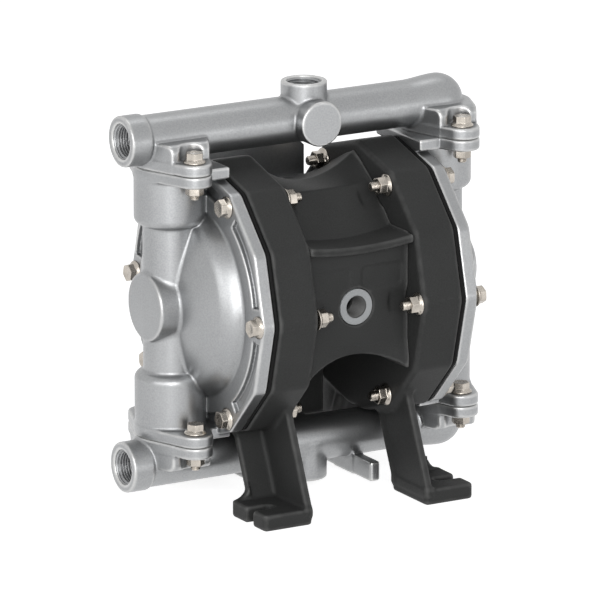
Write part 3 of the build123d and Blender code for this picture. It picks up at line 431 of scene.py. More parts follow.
# Air caps
# Two charcoal coated castings, mirror twins, each with a twelve-sided flange, an air chamber and two
# L-shaped legs whose slotted feet are cast on. They are screwed to the centre housing from inside.
cap_low, cap_high = corners_of("right_air_cap")
floor_z = cap_low[2]
rim_x = corners_of("right_inner_plate")[1][0]
air_wall = 11.4
air_wall_x = cap_low[0] + air_wall
flange_half = (84.0, 87.3)
flange_blend = 1.4
cavity_r = 56.0
cavity_lead = 9.0
clearance_r = 3.3
tube_r = 14.6
tube_relief_gap = 0.6
inlet_reach = 24.0
inlet_z = corners_of("inlet_manifold")[0][2] + inlet_reach
relief_up = inlet_z + tube_r + tube_relief_gap - shaft_z
leg_inner_x = 40.3
leg_wall = 5.2
leg_lean = math.tan(math.radians(24.0))
leg_outer_x = 64.0
leg_top_share = 0.69
leg_back_top_share = 0.82
foot_high = cap_high[0]
foot_front = 81.6
foot_back = 39.3
foot_top = floor_z + 10.2
slot_half = 3.8
slot_end_x = 57.8
slot_y = 62.1
leg_fillet = 10.0
cap_screw_head_r = 4.45
cap_screw_sink = 3.5


def soft_max(a, b, blend):
    """The larger of two fields, rounded over where they are within blend of each other."""
    near = np.clip(blend - np.abs(a - b), 0, None) / blend
    return np.maximum(a, b) + near * near * blend / 4


def flange_outline(y, up, inset=0.0):
    """Distance from the twelve-sided outline, whose corners lie on an ellipse about the shaft."""
    turns = np.radians(np.arange(13) * 30)
    corners = np.stack([flange_half[0] * np.cos(turns), flange_half[1] * np.sin(turns)], 1)
    field = None
    for (ay, au), (by, bu) in zip(corners[:-1], corners[1:]):
        length = math.hypot(by - ay, bu - au)
        normal = ((bu - au) / length, (ay - by) / length)
        side = (y - ay) * normal[0] + (up - au) * normal[1]
        field = side if field is None else soft_max(field, side, flange_blend)
    return trim(field + inset, relief_up - up, 1.0)


def bolt_holes(body, y, up):
    """Clearance holes at the six body bolts."""
    for angle in bolt_angles:
        hole = np.hypot(y + bolt_circle_r * math.cos(angle), up - bolt_circle_r * math.sin(angle))
        body = cut(body, hole - clearance_r, 0.2)
    return body


def leg_field(x, y, z):
    """One leg and foot: an inner wall, a back wall, the slotted foot and the scooped gusset."""
    def leaning(front, top):
        """A plate from a front edge to the foot's back edge, leaning back up to its top."""
        lean = (top - foot_top) * leg_lean
        return polygon(y, z, [
            (front, low), (front, foot_top), (front + lean, top),
            (-foot_back + lean, top), (-foot_back, foot_top), (-foot_back, low),
        ])

    low = floor_z + 5.0
    wall = leaning(-foot_front, shaft_z - leg_top_share * flange_half[1])
    back = leaning(-foot_back - leg_wall, shaft_z - leg_back_top_share * flange_half[1])
    wall = trim(wall, between(x, leg_inner_x, leg_inner_x + leg_wall), 0.9)
    back = trim(back, between(x, leg_inner_x, leg_outer_x), 0.9)
    outline = trim(between(x, leg_inner_x, foot_high), between(y, -foot_front, -foot_back), 3.0)
    foot = trim(outline, between(z, floor_z, foot_top), 0.9)
    across = np.abs(y + slot_y)
    inward = np.minimum(x - slot_end_x - slot_half, 0)
    foot = cut(foot, np.hypot(inward, across) - slot_half, 0.8)
    gusset = np.maximum(between(x, leg_outer_x - 1, leg_outer_x + leg_fillet),
                        between(z, foot_top - 1, foot_top + leg_fillet))
    gusset = np.maximum(gusset, between(y, -foot_back - leg_wall, -foot_back))
    scoop = np.hypot(x - leg_outer_x - leg_fillet, z - foot_top - leg_fillet) - leg_fillet
    gusset = cut(gusset, scoop, 0.3)
    leg = join(wall, back, 2.5)
    leg = join(leg, foot, 2.0)
    return join(leg, gusset, 0.6)


def air_cap_field(x, y, z):
    """The flange block with its chamber and the two legs."""
    up = z - shaft_z
    outline = flange_outline(y, up)
    body = trim(outline, centre_half - x, 3.4)
    body = trim(body, x - rim_x, 0.8)
    body = join(body, leg_field(x, -np.abs(y), z), 3.0)
    round_r = np.hypot(y, up)
    chamber = np.maximum(round_r - cavity_r, air_wall_x - x)
    lead = (round_r - cavity_r + cavity_lead - (x - air_wall_x)) * math.sqrt(0.5)
    body = cut(body, np.maximum(chamber, lead), 0.5)
    body = bolt_holes(body, y, up)
    body = cut(body, round_r - shaft_r - 1)
    body = cut(body, np.hypot(y - pilot_y, up) - 3)
    screw = np.hypot(np.abs(y) - screw_reach, np.abs(up) - screw_reach)
    body = cut(body, screw - cap_screw_r - 0.2)
    return cut(body, np.maximum(screw - cap_screw_head_r, air_wall_x - cap_screw_sink - x))


air_cap_skin = casting(air_cap_field, cap_low, cap_high, 1.3, 0.8)
for side in ("right", "left"):
    piece = stand(side + "_air_cap_casting", air_cap_skin, charcoal, flip=side == "left")
    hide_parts(side + "_air_cap")


# Fluid caps
# Two aluminium castings, mirror twins, glass bead blasted to an even satin grain. Each has a domed
# fluid chamber, a round side boss and a valve tower with a bolted joint at its top and bottom.
fluid_low, fluid_high = corners_of("right_fluid_cap")
fluid_x = fluid_low[0]
bolt_head = 6.3
head_x = corners_of("right_body_bolts")[1][0] - bolt_head
ball_low, ball_high = corners_of("right_outlet_ball")
tower_x = (ball_low[0] + ball_high[0]) / 2
outlet_joint = corners_of("outlet_manifold")[0][2]
inlet_joint = corners_of("inlet_manifold")[1][2]
fluid_inset = 0.8
dome_r = 61.0
dome_rise = 24.6
dome_crown_r = 108.0
dome_shoulder_r = 11.0
dome_wall = 4.6
ring_width = 9.5
pocket_outer_r = 78.0
pocket_depth = 3.2
pocket_margin = math.radians(8.5)
chamber_r = 22.0
chamber_round = 5.0
upper_chamber = 37.5
lower_chamber = 40.6
neck_r = 16.6
boss_r = 21.5
boss_face_x = 113.0
joint_plate = 7.3
lobe_y = 31.6
lobe_r = 10.85
shelf_half = 27.0
seat_r = 15.05
seat_height = 7.95
chamber_bore_r = 12.4
upper_bore_r = 10.0
passage_r = 7.5
passage_offset = 50.0


def joint_outline(x, y):
    """Distance from the two-lobed joint flange: the tangent hull of a large and two small circles."""
    slope = (chamber_r - lobe_r) / lobe_y
    rise = math.sqrt(1 - slope * slope)
    across, along = np.abs(x - tower_x), np.abs(y)
    where = -slope * across + rise * along
    flank = rise * across + slope * along - chamber_r
    field = np.where(where < 0, np.hypot(across, along) - chamber_r, flank)
    return np.where(where > rise * lobe_y, np.hypot(across, along - lobe_y) - lobe_r, field)


def dome_field(x, round_r, radius, top_x, crown_r):
    """A round wall with a rounded shoulder under a spherical crown."""
    crown = np.hypot(x - top_x + crown_r, round_r) - crown_r
    return trim(round_r - radius, crown, dome_shoulder_r)


def pocket_field(y, up):
    """The shallow arc pockets between the bolts, with radial ends."""
    round_r = np.hypot(y, up)
    angle = np.arctan2(up, -y)
    field = np.full(np.shape(y), 1e3)
    for first, second in zip(bolt_angles, [*bolt_angles[1:], bolt_angles[0] + 2 * math.pi]):
        middle, half = (first + second) / 2, (second - first) / 2 - pocket_margin
        away = np.abs((angle - middle + math.pi) % (2 * math.pi) - math.pi)
        field = np.minimum(field, (away - half) * round_r)
    return trim(field, between(round_r, dome_r + ring_width, pocket_outer_r), 0.6)


def fluid_cap_field(x, y, z):
    """Flange, dome, side boss, valve tower and joint shelves, hollowed by the fluid passages."""
    up = z - shaft_z
    round_r = np.hypot(y, up)
    flange = trim(flange_outline(y, up, fluid_inset), between(x, fluid_x, head_x), 1.4)
    flange = cut(flange, np.maximum(pocket_field(y, up), head_x - pocket_depth - x), 0.3)
    dome = dome_field(x, round_r, dome_r, head_x + dome_rise, dome_crown_r)
    body = join(flange, np.maximum(dome, fluid_x + pocket_depth - x), 1.6)
    tower_r = np.hypot(x - tower_x, y)
    neck = trim(tower_r - neck_r, between(z, inlet_joint, outlet_joint), 0.5)
    body = join(body, neck, 1.8)
    upper = trim(tower_r - chamber_r, between(z, outlet_joint - upper_chamber, outlet_joint), chamber_round)
    lower = trim(tower_r - chamber_r, between(z, inlet_joint, inlet_joint + lower_chamber), chamber_round)
    body = join(join(body, upper, 1.8), lower, 1.8)
    boss = trim(round_r - boss_r, between(x, head_x, boss_face_x), 1.5)
    body = join(body, boss, 1.8)
    shelf = np.maximum(between(x, fluid_x, tower_x), np.abs(y) - shelf_half)
    outline = np.minimum(joint_outline(x, y), shelf)
    for low, high in ((outlet_joint - joint_plate, outlet_joint), (inlet_joint, inlet_joint + joint_plate)):
        body = join(body, trim(outline, between(z, low, high), 1.0), 1.6)
    body = np.maximum(body, fluid_x - x)
    body = np.maximum(body, np.where(x > head_x + 0.5, between(z, inlet_joint, outlet_joint), -1e3))
    cavity = dome_field(x, round_r, cavity_r, head_x + dome_rise - dome_wall, dome_crown_r - dome_wall)
    body = cut(body, cavity)
    body = cut(body, np.maximum(tower_r - chamber_bore_r, z - inlet_joint - lower_chamber + dome_wall))
    body = cut(body, np.maximum(tower_r - upper_bore_r, outlet_joint - upper_chamber + dome_wall - z))
    body = cut(body, np.maximum(tower_r - seat_r, outlet_joint - seat_height - z))
    passage = np.maximum(np.hypot(y, np.abs(up) - passage_offset) - passage_r, between(x, fluid_x, tower_x))
    body = cut(body, passage)
    bolt = np.hypot(x - tower_x, np.abs(y) - lobe_y) - clearance_r
    shelf_room = np.minimum(outlet_joint - joint_plate - 1 - z, z - inlet_joint - joint_plate - 1)
    body = cut(body, np.maximum(bolt, shelf_room), 0.2)
    return bolt_holes(body, y, up)


# The third colour is the painted highlight on raised edges; 0.15 is where the painted highlight and shade
# masks start.
aluminium = cast_metal("blasted_aluminium", (0.29, 0.295, 0.3), (0.37, 0.375, 0.38), (0.62, 0.62, 0.61),
                       0.95, 0.36, 1000.0, 0.00003, 0.15)
fluid_cap_skin = casting(fluid_cap_field, fluid_low, fluid_high, 1.0, 0.45)
for side in ("right", "left"):
    piece = stand(side + "_fluid_cap_casting", fluid_cap_skin, aluminium, flip=side == "left")
    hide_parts(side + "_fluid_cap")


# Manifolds
# Two aluminium castings, blasted like the fluid caps. Each is a tube with a threaded end port, a
# threaded centre port, a blind boss, a domed end and two bolted feet. The lower one has support lugs.
manifold_low, manifold_high = corners_of("outlet_manifold")
port_face_x = -manifold_low[0]
joint_drop = 17.6
collar_r = 15.9
collar_length = 13.6
collar_taper = 1.6
end_neck_length = 24.0
end_dome_r = 16.5
tube_bore_r = 9.9
port_bore_r = 10.4
port_chamfer = 1.0
port_thread_length = 16.0
thread_pocket_r = 10.9
centre_port_r = 14.4
port_reach = {"outlet": 23.7, "inlet": inlet_reach}
blind_boss_r = 14.2
blind_boss_y = 22.9
foot_wall_y = 27.5
foot_corner_r = 5.0
foot_pocket_r = 9.0
lug_x = (28.8, 36.2)
lug_y = 33.0
lug_height = 12.2
web_y = 11.6
ball_lift = 4.7
rib_reach = 10.0
rib_half = 2.5
inlet_mouth_r = 9.0


def manifold_field(x, f, h, kind):
    """Tube, feet, ports, boss and lugs; f points away from the blind boss and h away from the pump."""
    side = np.abs(x)
    reach = port_reach[kind]
    swell = np.clip((x - tower_x) / end_neck_length + 1, 0, 1)
    flare = np.clip((collar_length + collar_taper - port_face_x - x) / collar_taper, 0, 1)
    radius = tube_r + (end_dome_r - tube_r) * swell * swell * (3 - 2 * swell) + (collar_r - tube_r) * flare
    body = np.sqrt(np.maximum(x - tower_x, 0) ** 2 + f * f + h * h) - radius
    body = trim(body, -port_face_x - x, 0.6)
    outline = joint_outline(side, f)
    plate = trim(outline, between(h, -joint_drop, joint_plate - joint_drop), 0.9)
    walls = trim(between(f, -foot_wall_y, foot_wall_y), h, foot_corner_r)
    walls = trim(outline, np.maximum(walls, -joint_drop - h), 0.9)
    pocket = np.hypot(side - tower_x, np.abs(f) - lobe_y) - foot_pocket_r
    walls = cut(walls, np.maximum(pocket, joint_plate - joint_drop - h), 0.8)
    body = join(body, join(plate, walls, 0.8), 1.6)
    port = trim(np.hypot(x, f) - centre_port_r, between(h, 0, reach), 0.6)
    boss = trim(np.hypot(x, h) - blind_boss_r, between(f, -blind_boss_y, 0), 0.8)
    body = join(join(body, port, 1.2), boss, 1.2)
    if kind == "inlet":
        across = between(side, *lug_x)
        lug = trim(trim(across, np.abs(f) - lug_y, 2.0), between(h, reach - lug_height, reach), 0.7)
        web = np.maximum(across, np.maximum(np.abs(f) - web_y, between(h, 0, reach)))
        body = join(body, join(lug, web, 1.0), 1.5)
    for axis_r, face in ((np.hypot(f, h), x + port_face_x), (np.hypot(x, f), reach - h)):
        mouth = port_bore_r + np.clip(port_chamfer - face, 0, None)
        thread = np.where(face > port_chamfer, thread_pocket_r, mouth)
        body = cut(body, np.maximum(axis_r - thread, face - port_thread_length - port_chamfer), 0.1)
    body = cut(body, np.maximum(np.hypot(f, h) - tube_bore_r, x - tower_x - 3))
    body = cut(body, np.maximum(np.hypot(x, f) - tube_bore_r, -h))
    tower_side = np.hypot(side - tower_x, f)
    if kind == "outlet":
        body = cut(body, np.maximum(tower_side - chamber_bore_r, h))
        rib_low = corners_of("right_outlet_ball")[1][2] + ball_lift - outlet_z
        rib = np.maximum(between(side, tower_x - rib_reach, tower_x + rib_reach), np.abs(f) - rib_half)
        body = np.minimum(body, np.maximum(rib, between(h, rib_low, tube_bore_r + 1)))
    else:
        body = cut(body, np.maximum(tower_side - inlet_mouth_r, h))
        body = cut(body, np.maximum(tower_side - seat_r, h + joint_drop - seat_height))
    return cut(body, np.hypot(side - tower_x, np.abs(f) - lobe_y) - clearance_r, 0.2)


outlet_z = manifold_high[2] - port_reach["outlet"]


def outlet_field(x, y, z):
    """The outlet manifold, ports up and blind boss to the front."""
    return manifold_field(x, y, z - outlet_z, "outlet")


def inlet_field(x, y, z):
    """The inlet manifold, turned half round about the tube."""
    return manifold_field(x, -y, inlet_z - z, "inlet")


for kind, field in (("outlet", outlet_field), ("inlet", inlet_field)):
    low, high = corners_of(kind + "_manifold")
    piece = stand(kind + "_manifold_casting", casting(field, low, high, 1.15, 0.5), aluminium)
    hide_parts(kind + "_manifold")


# Port threads
# Pipe threads cut into the four fluid ports and the air inlet ring. Each is a closed sleeve whose
# bore carries the turns, set just behind the mouth's chamfer.
pipe_pitch = 1.814
pipe_depth = 1.05
inlet_pitch = 1.337
inlet_depth = 0.8


def ring_skin(rows):
    """A closed ring surface from rows of points, each row a loop round the axis.

    The rows close on themselves too. Normals come from the cross product of the two neighbour
    differences.
    """
    around = np.roll(rows, -1, 1) - np.roll(rows, 1, 1)
    along = np.roll(rows, -1, 0) - np.roll(rows, 1, 0)
    normals = np.cross(along, around)
    normals /= np.maximum(np.linalg.norm(normals, axis=2), 1e-9)[:, :, None]
    number = np.arange(rows.shape[0] * rows.shape[1]).reshape(rows.shape[:2])
    right = np.roll(number, -1, 1)
    quads = np.stack([number, np.roll(number, -1, 0), np.roll(right, -1, 0), right], 2).reshape(-1, 4)
    return rows.reshape(-1, 3), quads, normals.reshape(-1, 3), np.zeros(number.size)


def threaded_bore(outer_r, mouth_r, depth, pitch, start, end):
    """Rows of a sleeve about the third axis, threaded inside.

    The bore's radius is the mouth's less the depth times a rounded wave of the distance in pitches
    less the turn. The wave fades in over the first pitch.
    """
    turn = np.linspace(0, 2 * math.pi, 84, endpoint=False)
    down = np.arange(end, start, -pitch / 9)
    phase = down[:, None] / pitch - turn[None, :] / (2 * math.pi)
    wave = np.clip(0.5 + 0.62 * np.cos(2 * math.pi * phase), 0, 1)
    fade = np.clip((down - start) / pitch, 0, 1)[:, None]
    bore = mouth_r - depth * wave * fade
    wall = np.full((2, len(turn)), outer_r)
    radius = np.concatenate([wall, bore])
    place = np.concatenate([[start, end], down])[:, None] + 0 * radius
    return np.stack([radius * np.cos(turn), radius * np.sin(turn), place], 2)


def turned(rows, axes, origin):
    """Points moved so that their three axes lie along the given directions."""
    return rows @ np.array(axes, float) + np.array(origin, float)


port_axes = {
    "outlet_end": (((0, 1, 0), (0, 0, 1), (1, 0, 0)), (-port_face_x, 0, outlet_z)),
    "inlet_end": (((0, 1, 0), (0, 0, 1), (1, 0, 0)), (-port_face_x, 0, inlet_z)),
    "outlet_centre": (((0, 1, 0), (1, 0, 0), (0, 0, -1)), (0, 0, outlet_z + port_reach["outlet"])),
    "inlet_centre": (((1, 0, 0), (0, 1, 0), (0, 0, 1)), (0, 0, inlet_z - port_reach["inlet"])),
}
rows = threaded_bore(thread_pocket_r + 0.2, port_bore_r, pipe_depth, pipe_pitch, port_chamfer,
                     port_thread_length)
for name, (axes, origin) in port_axes.items():
    piece = stand(name + "_thread", ring_skin(turned(rows, axes, origin)), aluminium)

ring_face_y = corners_of("air_inlet_bushing")[0][1]
inlet_bore_r = 6.8
rows = threaded_bore(inlet_ring_r - 0.1, inlet_bore_r, inlet_depth, inlet_pitch, 0.8, inlet_ring_length)
face = np.array([(inlet_ring_r - 0.1, 0.45), (inlet_ring_r - 0.25, 0.12), (inlet_ring_r - 0.5, 0.02),
                 (inlet_bore_r + 0.5, 0.02), (inlet_bore_r + 0.35, 0.08), (inlet_bore_r + 0.05, 0.4)])
turn = np.linspace(0, 2 * math.pi, rows.shape[1], endpoint=False)
face_rows = np.stack([face[:, :1] * np.cos(turn), face[:, :1] * np.sin(turn), face[:, 1:] + 0 * turn], 2)
rows = np.concatenate([rows[1:], face_rows[::-1]])
ring_axes = ((0, 0, 1), (1, 0, 0), (0, 1, 0))
ring_paint, ring_tree, ring_shader = blank("inlet_ring")
ring_grain = grouped(ring_tree, grain_group, Grain=900.0, Cloud=60.0, Cloudiness=0.4)
ring_tone = two_tone(ring_tree, ring_grain.outputs["Tone"], 0.3, (0.26, 0.27, 0.275),
                     0.7, (0.32, 0.33, 0.335))
# Inside the bore the ring is painted near black as painted shade, by a mask of the distance from the ring's
# axis.
from_axis = add(ring_tree, "Mapping", {"Vector": add(ring_tree, "TexCoord").outputs["Object"],
                                       "Location": (0.0, 0.0, -shaft_z / 1000), "Scale": (1.0, 0.0, 1.0)})
axis_gap = add(ring_tree, "VectorMath", {0: from_axis.outputs[0]}, operation="LENGTH").outputs["Value"]
outside = add(ring_tree, "MapRange", {"Value": axis_gap, "From Min": (inlet_bore_r + 0.1) / 1000,
                                      "From Max": (inlet_bore_r + 0.4) / 1000}).outputs[0]
bore_painted_shade = add(ring_tree, "Mix", {"Factor": outside, "A": (0.09, 0.09, 0.088, 1), "B": ring_tone},
                data_type="RGBA")
ring_tree.links.new(bore_painted_shade.outputs["Result"], ring_shader.inputs["Base Color"])
ring_dent = add(ring_tree, "Bump", {"Strength": 1.0, "Distance": 0.00003,
                                    "Height": ring_grain.outputs["Height"]})
ring_tree.links.new(ring_dent.outputs["Normal"], ring_shader.inputs["Normal"])
ring_shader.inputs["Roughness"].default_value = 0.42
piece = stand("air_inlet_ring", ring_skin(turned(rows, ring_axes, (0, ring_face_y, shaft_z))), ring_paint)
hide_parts("air_inlet_bushing")


# Bolts and nuts
# M6 fasteners in bright stainless steel with flanged hexagons; the manifold nuts are plain. Each is a
# forged head or nut, a shank and a rolled thread where its end shows.
hex_half = 5.0
hex_crown_r = hex_half / math.cos(math.radians(30)) - 0.15
bolt_flange_r = 7.1
bolt_flange = 1.6
flanged_nut = 7.2
plain_nut = 5.6
thread_r = 3.0
thread_depth = 0.34
thread_pitch = 1.0
thread_tip = 0.7
bolt_thread_shown = 6.0
joint_thread_shown = 4.5
dish_r = 14.6
dish_depth = 0.4
bolt_tip = 4.6
joint_bolt_tip = 3.1
bolt_y = -bolt_circle_r * np.cos(bolt_angles)
bolt_z = shaft_z + bolt_circle_r * np.sin(bolt_angles)


def hexagon_field(x, y):
    """Distance from a hexagon with corners on the x axis and slightly rounded edges."""
    slant = np.abs(x) * math.sqrt(0.75) + np.abs(y) * 0.5
    return trim(np.abs(y) - hex_half, slant - hex_half, 0.2)


def head_field(x, y, z, height, flanged, hole):
    """A forged hexagon with a turned crown, on its flange, with or without a hole."""
    r = np.hypot(x, y)
    crown = (r - hex_crown_r) * 0.5 + (z - height + 0.15) * math.sqrt(0.75)
    body = trim(hexagon_field(x, y), crown, 0.12)
    body = trim(body, between(z, 0, height), 0.2)
    if flanged:
        cone = (z - bolt_flange * 0.45) * 0.75 + (r - bolt_flange_r) * 0.66
        flange = trim(trim(r - bolt_flange_r, cone, 0.3), between(z, 0, bolt_flange * 1.3), 0.2)
        body = join(body, flange, 0.5)
    if hole:
        mouth = thread_r + np.clip(z - height + 0.5, 0, None)
        body = cut(body, r - mouth, 0.1)
    else:
        dish = np.hypot(r, z - height - dish_r + dish_depth) - dish_r
        body = cut(body, dish, 0.25)
    return body


def thread_field(x, y, z, low, high):
    """A screw thread about z: the radius waves with height less turn, and the tip is chamfered."""
    r = np.hypot(x, y)
    phase = z / thread_pitch - np.arctan2(y, x) / (2 * math.pi)
    wave = 0.5 + 0.5 * np.cos(2 * math.pi * phase)
    body = r - thread_r + thread_depth * wave
    body = np.maximum(body, (r - thread_r + thread_tip + (low - z)) * math.sqrt(0.5))
    return np.maximum(body * 0.8, between(z, low, high))


def fastener(kind, reach=0.0, shown=0.0):
    """The skins of one fastener about z, with its seat at zero."""
    height, flanged, hole = {
        "bolt": (bolt_head, True, False),
        "flanged nut": (flanged_nut, True, True),
        "plain nut": (plain_nut, False, True),
    }[kind]
    head = casting(lambda x, y, z: head_field(x, y, z, height, flanged, hole),
                   (-bolt_flange_r, -bolt_flange_r, 0), (bolt_flange_r, bolt_flange_r, height),
                   0.5, 0.16, 0.35)
    if hole:
        return head
    end = shown - reach
    shank = casting(lambda x, y, z: np.maximum(np.hypot(x, y) - thread_r + 0.1, between(z, end, 0.6)),
                    (-thread_r, -thread_r, end), (thread_r, thread_r, 1), 0.9, 0.3)
    thread = casting(lambda x, y, z: thread_field(x, y, z, -reach, end + 1),
                     (-thread_r, -thread_r, -reach), (thread_r, thread_r, end + 1), 0.26, 0.07, 0.2)
    return merged([head, shank, thread])


def merged(skins):
    """Several skins as one."""
    offsets = np.cumsum([0] + [len(skin[0]) for skin in skins[:-1]])
    quads = np.concatenate([skin[1] + offset for skin, offset in zip(skins, offsets)])
    return (np.concatenate([skin[0] for skin in skins]), quads,
            np.concatenate([skin[2] for skin in skins]), np.concatenate([skin[3] for skin in skins]))


def placed(skin, places, along):
    """Copies of a skin about z, each turned about its own axis and stood at its place along a direction."""
    copies = []
    z_axis = np.array(along, float)
    x_axis = np.roll(np.abs(z_axis), 1)
    y_axis = np.cross(z_axis, x_axis)
    for count, place in enumerate(places):
        angle = 1.7 * count + 0.4 * abs(place[0]) + 0.9 * place[2]
        spin = np.array([x_axis * math.cos(angle) + y_axis * math.sin(angle),
                         y_axis * math.cos(angle) - x_axis * math.sin(angle), z_axis])
        points, quads, normals, edge = skin
        copies.append((points @ spin + np.array(place), quads, normals @ spin, edge))
    return merged(copies)


def bright_steel(name, base, rough, scratch):
    """Polished or turned stainless: fine scratches and faint stains in tone, gloss and relief."""
    material, tree, shader = blank(name)
    place = add(tree, "TexCoord").outputs["Object"]
    stretch = add(tree, "Mapping", {"Vector": place, "Scale": (1.0, 1.0, 6.0)})
    fine = add(tree, "TexNoise", {"Vector": stretch.outputs[0], "Scale": 900.0, "Detail": 3.0}).outputs[0]
    stain = add(tree, "TexNoise", {"Vector": place, "Scale": 180.0, "Detail": 3.0}).outputs[0]
    colour = two_tone(tree, stain, 0.32, [0.72 * c for c in base], 0.62, base)
    surface(tree, shader, colour, fine, (rough - 0.05, rough + 0.08), fine, scratch)
    shader.inputs["Metallic"].default_value = 1.0
    return material


stainless = bright_steel("bright_stainless", (0.5, 0.46, 0.41), 0.24, 0.000006)
body_bolt = fastener("bolt", head_x - centre_half + flanged_nut + bolt_tip, bolt_thread_shown)
body_nut = fastener("flanged nut")
joint_bolt = fastener("bolt", 2 * joint_plate + plain_nut + joint_bolt_tip, joint_thread_shown)
joint_nut = fastener("plain nut")
for side, way in (("right", 1), ("left", -1)):
    for part, skin, seat_x, turn in (("bolt", body_bolt, head_x, way), ("nut", body_nut, centre_half, -way)):
        seats = [(way * seat_x, y, z) for y, z in zip(bolt_y, bolt_z)]
        piece = stand(f"{side}_body_{part}_set", placed(skin, seats, (turn, 0, 0)), stainless)
        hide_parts(f"{side}_body_{part}s")
for kind, joint in (("outlet", outlet_joint), ("inlet", inlet_joint)):
    for part, skin, turn in (("bolt", joint_bolt, 1), ("nut", joint_nut, -1)):
        seats = [(x, y, joint + turn * joint_plate) for x in (-tower_x, tower_x) for y in (-lobe_y, lobe_y)]
        piece = stand(f"{kind}_joint_{part}_set", placed(skin, seats, (0, 0, turn)), stainless)
        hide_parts(f"{kind}_manifold_{part}s")


# Diaphragms
# Moulded black rubber discs, mirror twins. The rim is clamped between the caps and shows as a thin line; the
# rolled ring inside it, which bends as the shaft moves, is built as twelve sectors that are not tied to the
# shaft.
rubber_rim = corners_of("right_diaphragm")
roll_inner_r = 38.3
roll_outer_r = 55.6
roll_height = 6.8
disc_edge_r = 55.8
disc_bore_r = 4.2
sectors = 12


def rubber(name, colour, rough):
    """Moulded rubber: slow bloom in its tone and a fine moulded texture."""
    material, tree, shader = blank(name)
    grain = grouped(tree, grain_group, Grain=1500.0, Cloud=70.0, Cloudiness=0.6)
    tone = grain.outputs["Tone"]
    bloom = two_tone(tree, tone, 0.35, colour, 0.7, [1.9 * c for c in colour])
    surface(tree, shader, bloom, tone, (rough - 0.08, rough + 0.08), grain.outputs["Height"], 0.00003)
    return material


def rubber_rim_field(x, y, z):
    """The clamped rim between the caps, with its bolt holes."""
    up = z - shaft_z
    rim = trim(flange_outline(y, up, fluid_inset), between(x, rim_x, fluid_x), 0.5)
    rim = cut(rim, np.hypot(y, up) - disc_edge_r + 0.4)
    return bolt_holes(rim, y, up)


def roll_height_at(radius):
    """Height of the disc's outer face over its flat: half a wave between the roll's two radii."""
    share = np.clip((radius - roll_inner_r) / (roll_outer_r - roll_inner_r), 0, 1)
    return roll_height * np.sin(math.pi * share) ** 0.9


def sector_skin(number):
    """One sector of the disc, closed on all sides: both faces, the rims and the radial cuts."""
    radius = np.concatenate([[disc_bore_r, 20.0], np.linspace(36.0, disc_edge_r, 34)])
    angle = np.linspace(number, number + 1, 7) * 2 * math.pi / sectors
    outer = fluid_x + roll_height_at(radius)
    inner = rim_x + np.maximum(roll_height_at(radius) - 0.4, 0)
    loop_r = np.concatenate([radius, radius[::-1]])
    loop_x = np.concatenate([outer, inner[::-1]])
    rows = np.stack([loop_x[None, :] + 0 * angle[:, None], np.cos(angle)[:, None] * loop_r,
                     shaft_z + np.sin(angle)[:, None] * loop_r], 2)
    slope = np.gradient(loop_x) / np.where(np.abs(np.gradient(loop_r)) < 1e-6, 1, np.gradient(loop_r))
    face = np.where(np.arange(len(loop_r)) < len(radius), 1.0, -1.0)
    length = np.hypot(1, slope)
    normal_x = face / length
    normal_r = -face * slope / length
    normals = np.stack([normal_x[None, :] + 0 * angle[:, None], np.cos(angle)[:, None] * normal_r,
                        np.sin(angle)[:, None] * normal_r], 2)
    count, wide = rows.shape[:2]
    index = np.arange(count * wide).reshape(count, wide)
    ahead = np.roll(index, -1, 1)
    walls = np.stack([index[:-1], index[1:], ahead[1:], ahead[:-1]], 2).reshape(-1, 4)
    half = len(radius)
    ends = []
    for row, flip in ((index[0], False), (index[-1], True)):
        cap = np.stack([row[:half - 1], row[1:half], row[::-1][1:half], row[::-1][:half - 1]], 1)
        ends.append(cap[:, ::-1] if flip else cap)
    quads = np.concatenate([walls[:, ::-1], *ends])
    return rows.reshape(-1, 3), quads, normals.reshape(-1, 3), np.zeros(index.size)


black_rubber = rubber("black_rubber", (0.0035, 0.0035, 0.0035), 0.62)
black_rubber.node_tree.nodes["Principled BSDF"].inputs["Specular IOR Level"].default_value = 0.12
rim_low, rim_high = (rim_x, rubber_rim[0][1], rubber_rim[0][2]), (fluid_x, rubber_rim[1][1], rubber_rim[1][2])
rim_skin = casting(rubber_rim_field, rim_low, rim_high, 1.2, 0.4)
for side, way in (("right", 1), ("left", -1)):
    piece = stand(side + "_diaphragm_rim", rim_skin, black_rubber, flip=way < 0)
    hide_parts(side + "_diaphragm")
    for number in range(sectors):
        piece = stand(f"{side}_diaphragm_{number + 1:02d}", sector_skin(number), black_rubber, None, way < 0)
        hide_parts(side + "_diaphragm")
        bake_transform(piece)


# Inner pieces, air valve and muffler
# Turned, plated and moulded pieces that keep their solids: shaft, plates, bearings, seals, valve
# seats, balls, the air valve's castings and spool, and the sintered muffler.
turned_steel = bright_steel("turned_stainless", (0.55, 0.55, 0.54), 0.28, 0.00002)
zinc = bright_steel("zinc_plate", (0.5, 0.51, 0.52), 0.36, 0.00002)
polymer = rubber("grey_polymer", (0.3, 0.3, 0.29), 0.45)
muffler_plastic = rubber("muffler_plastic", (0.016, 0.016, 0.016), 0.7)
finishes = {
    "cast_aluminium": aluminium,
    "charcoal_casting": charcoal,
    "stainless_steel": stainless,
    "black_rubber": black_rubber,
    "grey_polymer": polymer,
    "inlet_ring": ring_paint,
    "valve_seat_steel": turned_steel,
    "zinc_plate": zinc,
    "muffler_plastic": muffler_plastic,
}
for subpart in frame["record"]["subparts"]:
    for material_slot in frame["nodes"][subpart["node"]].material_slots:
        material_slot.material = finishes[subpart["material_slot"]]


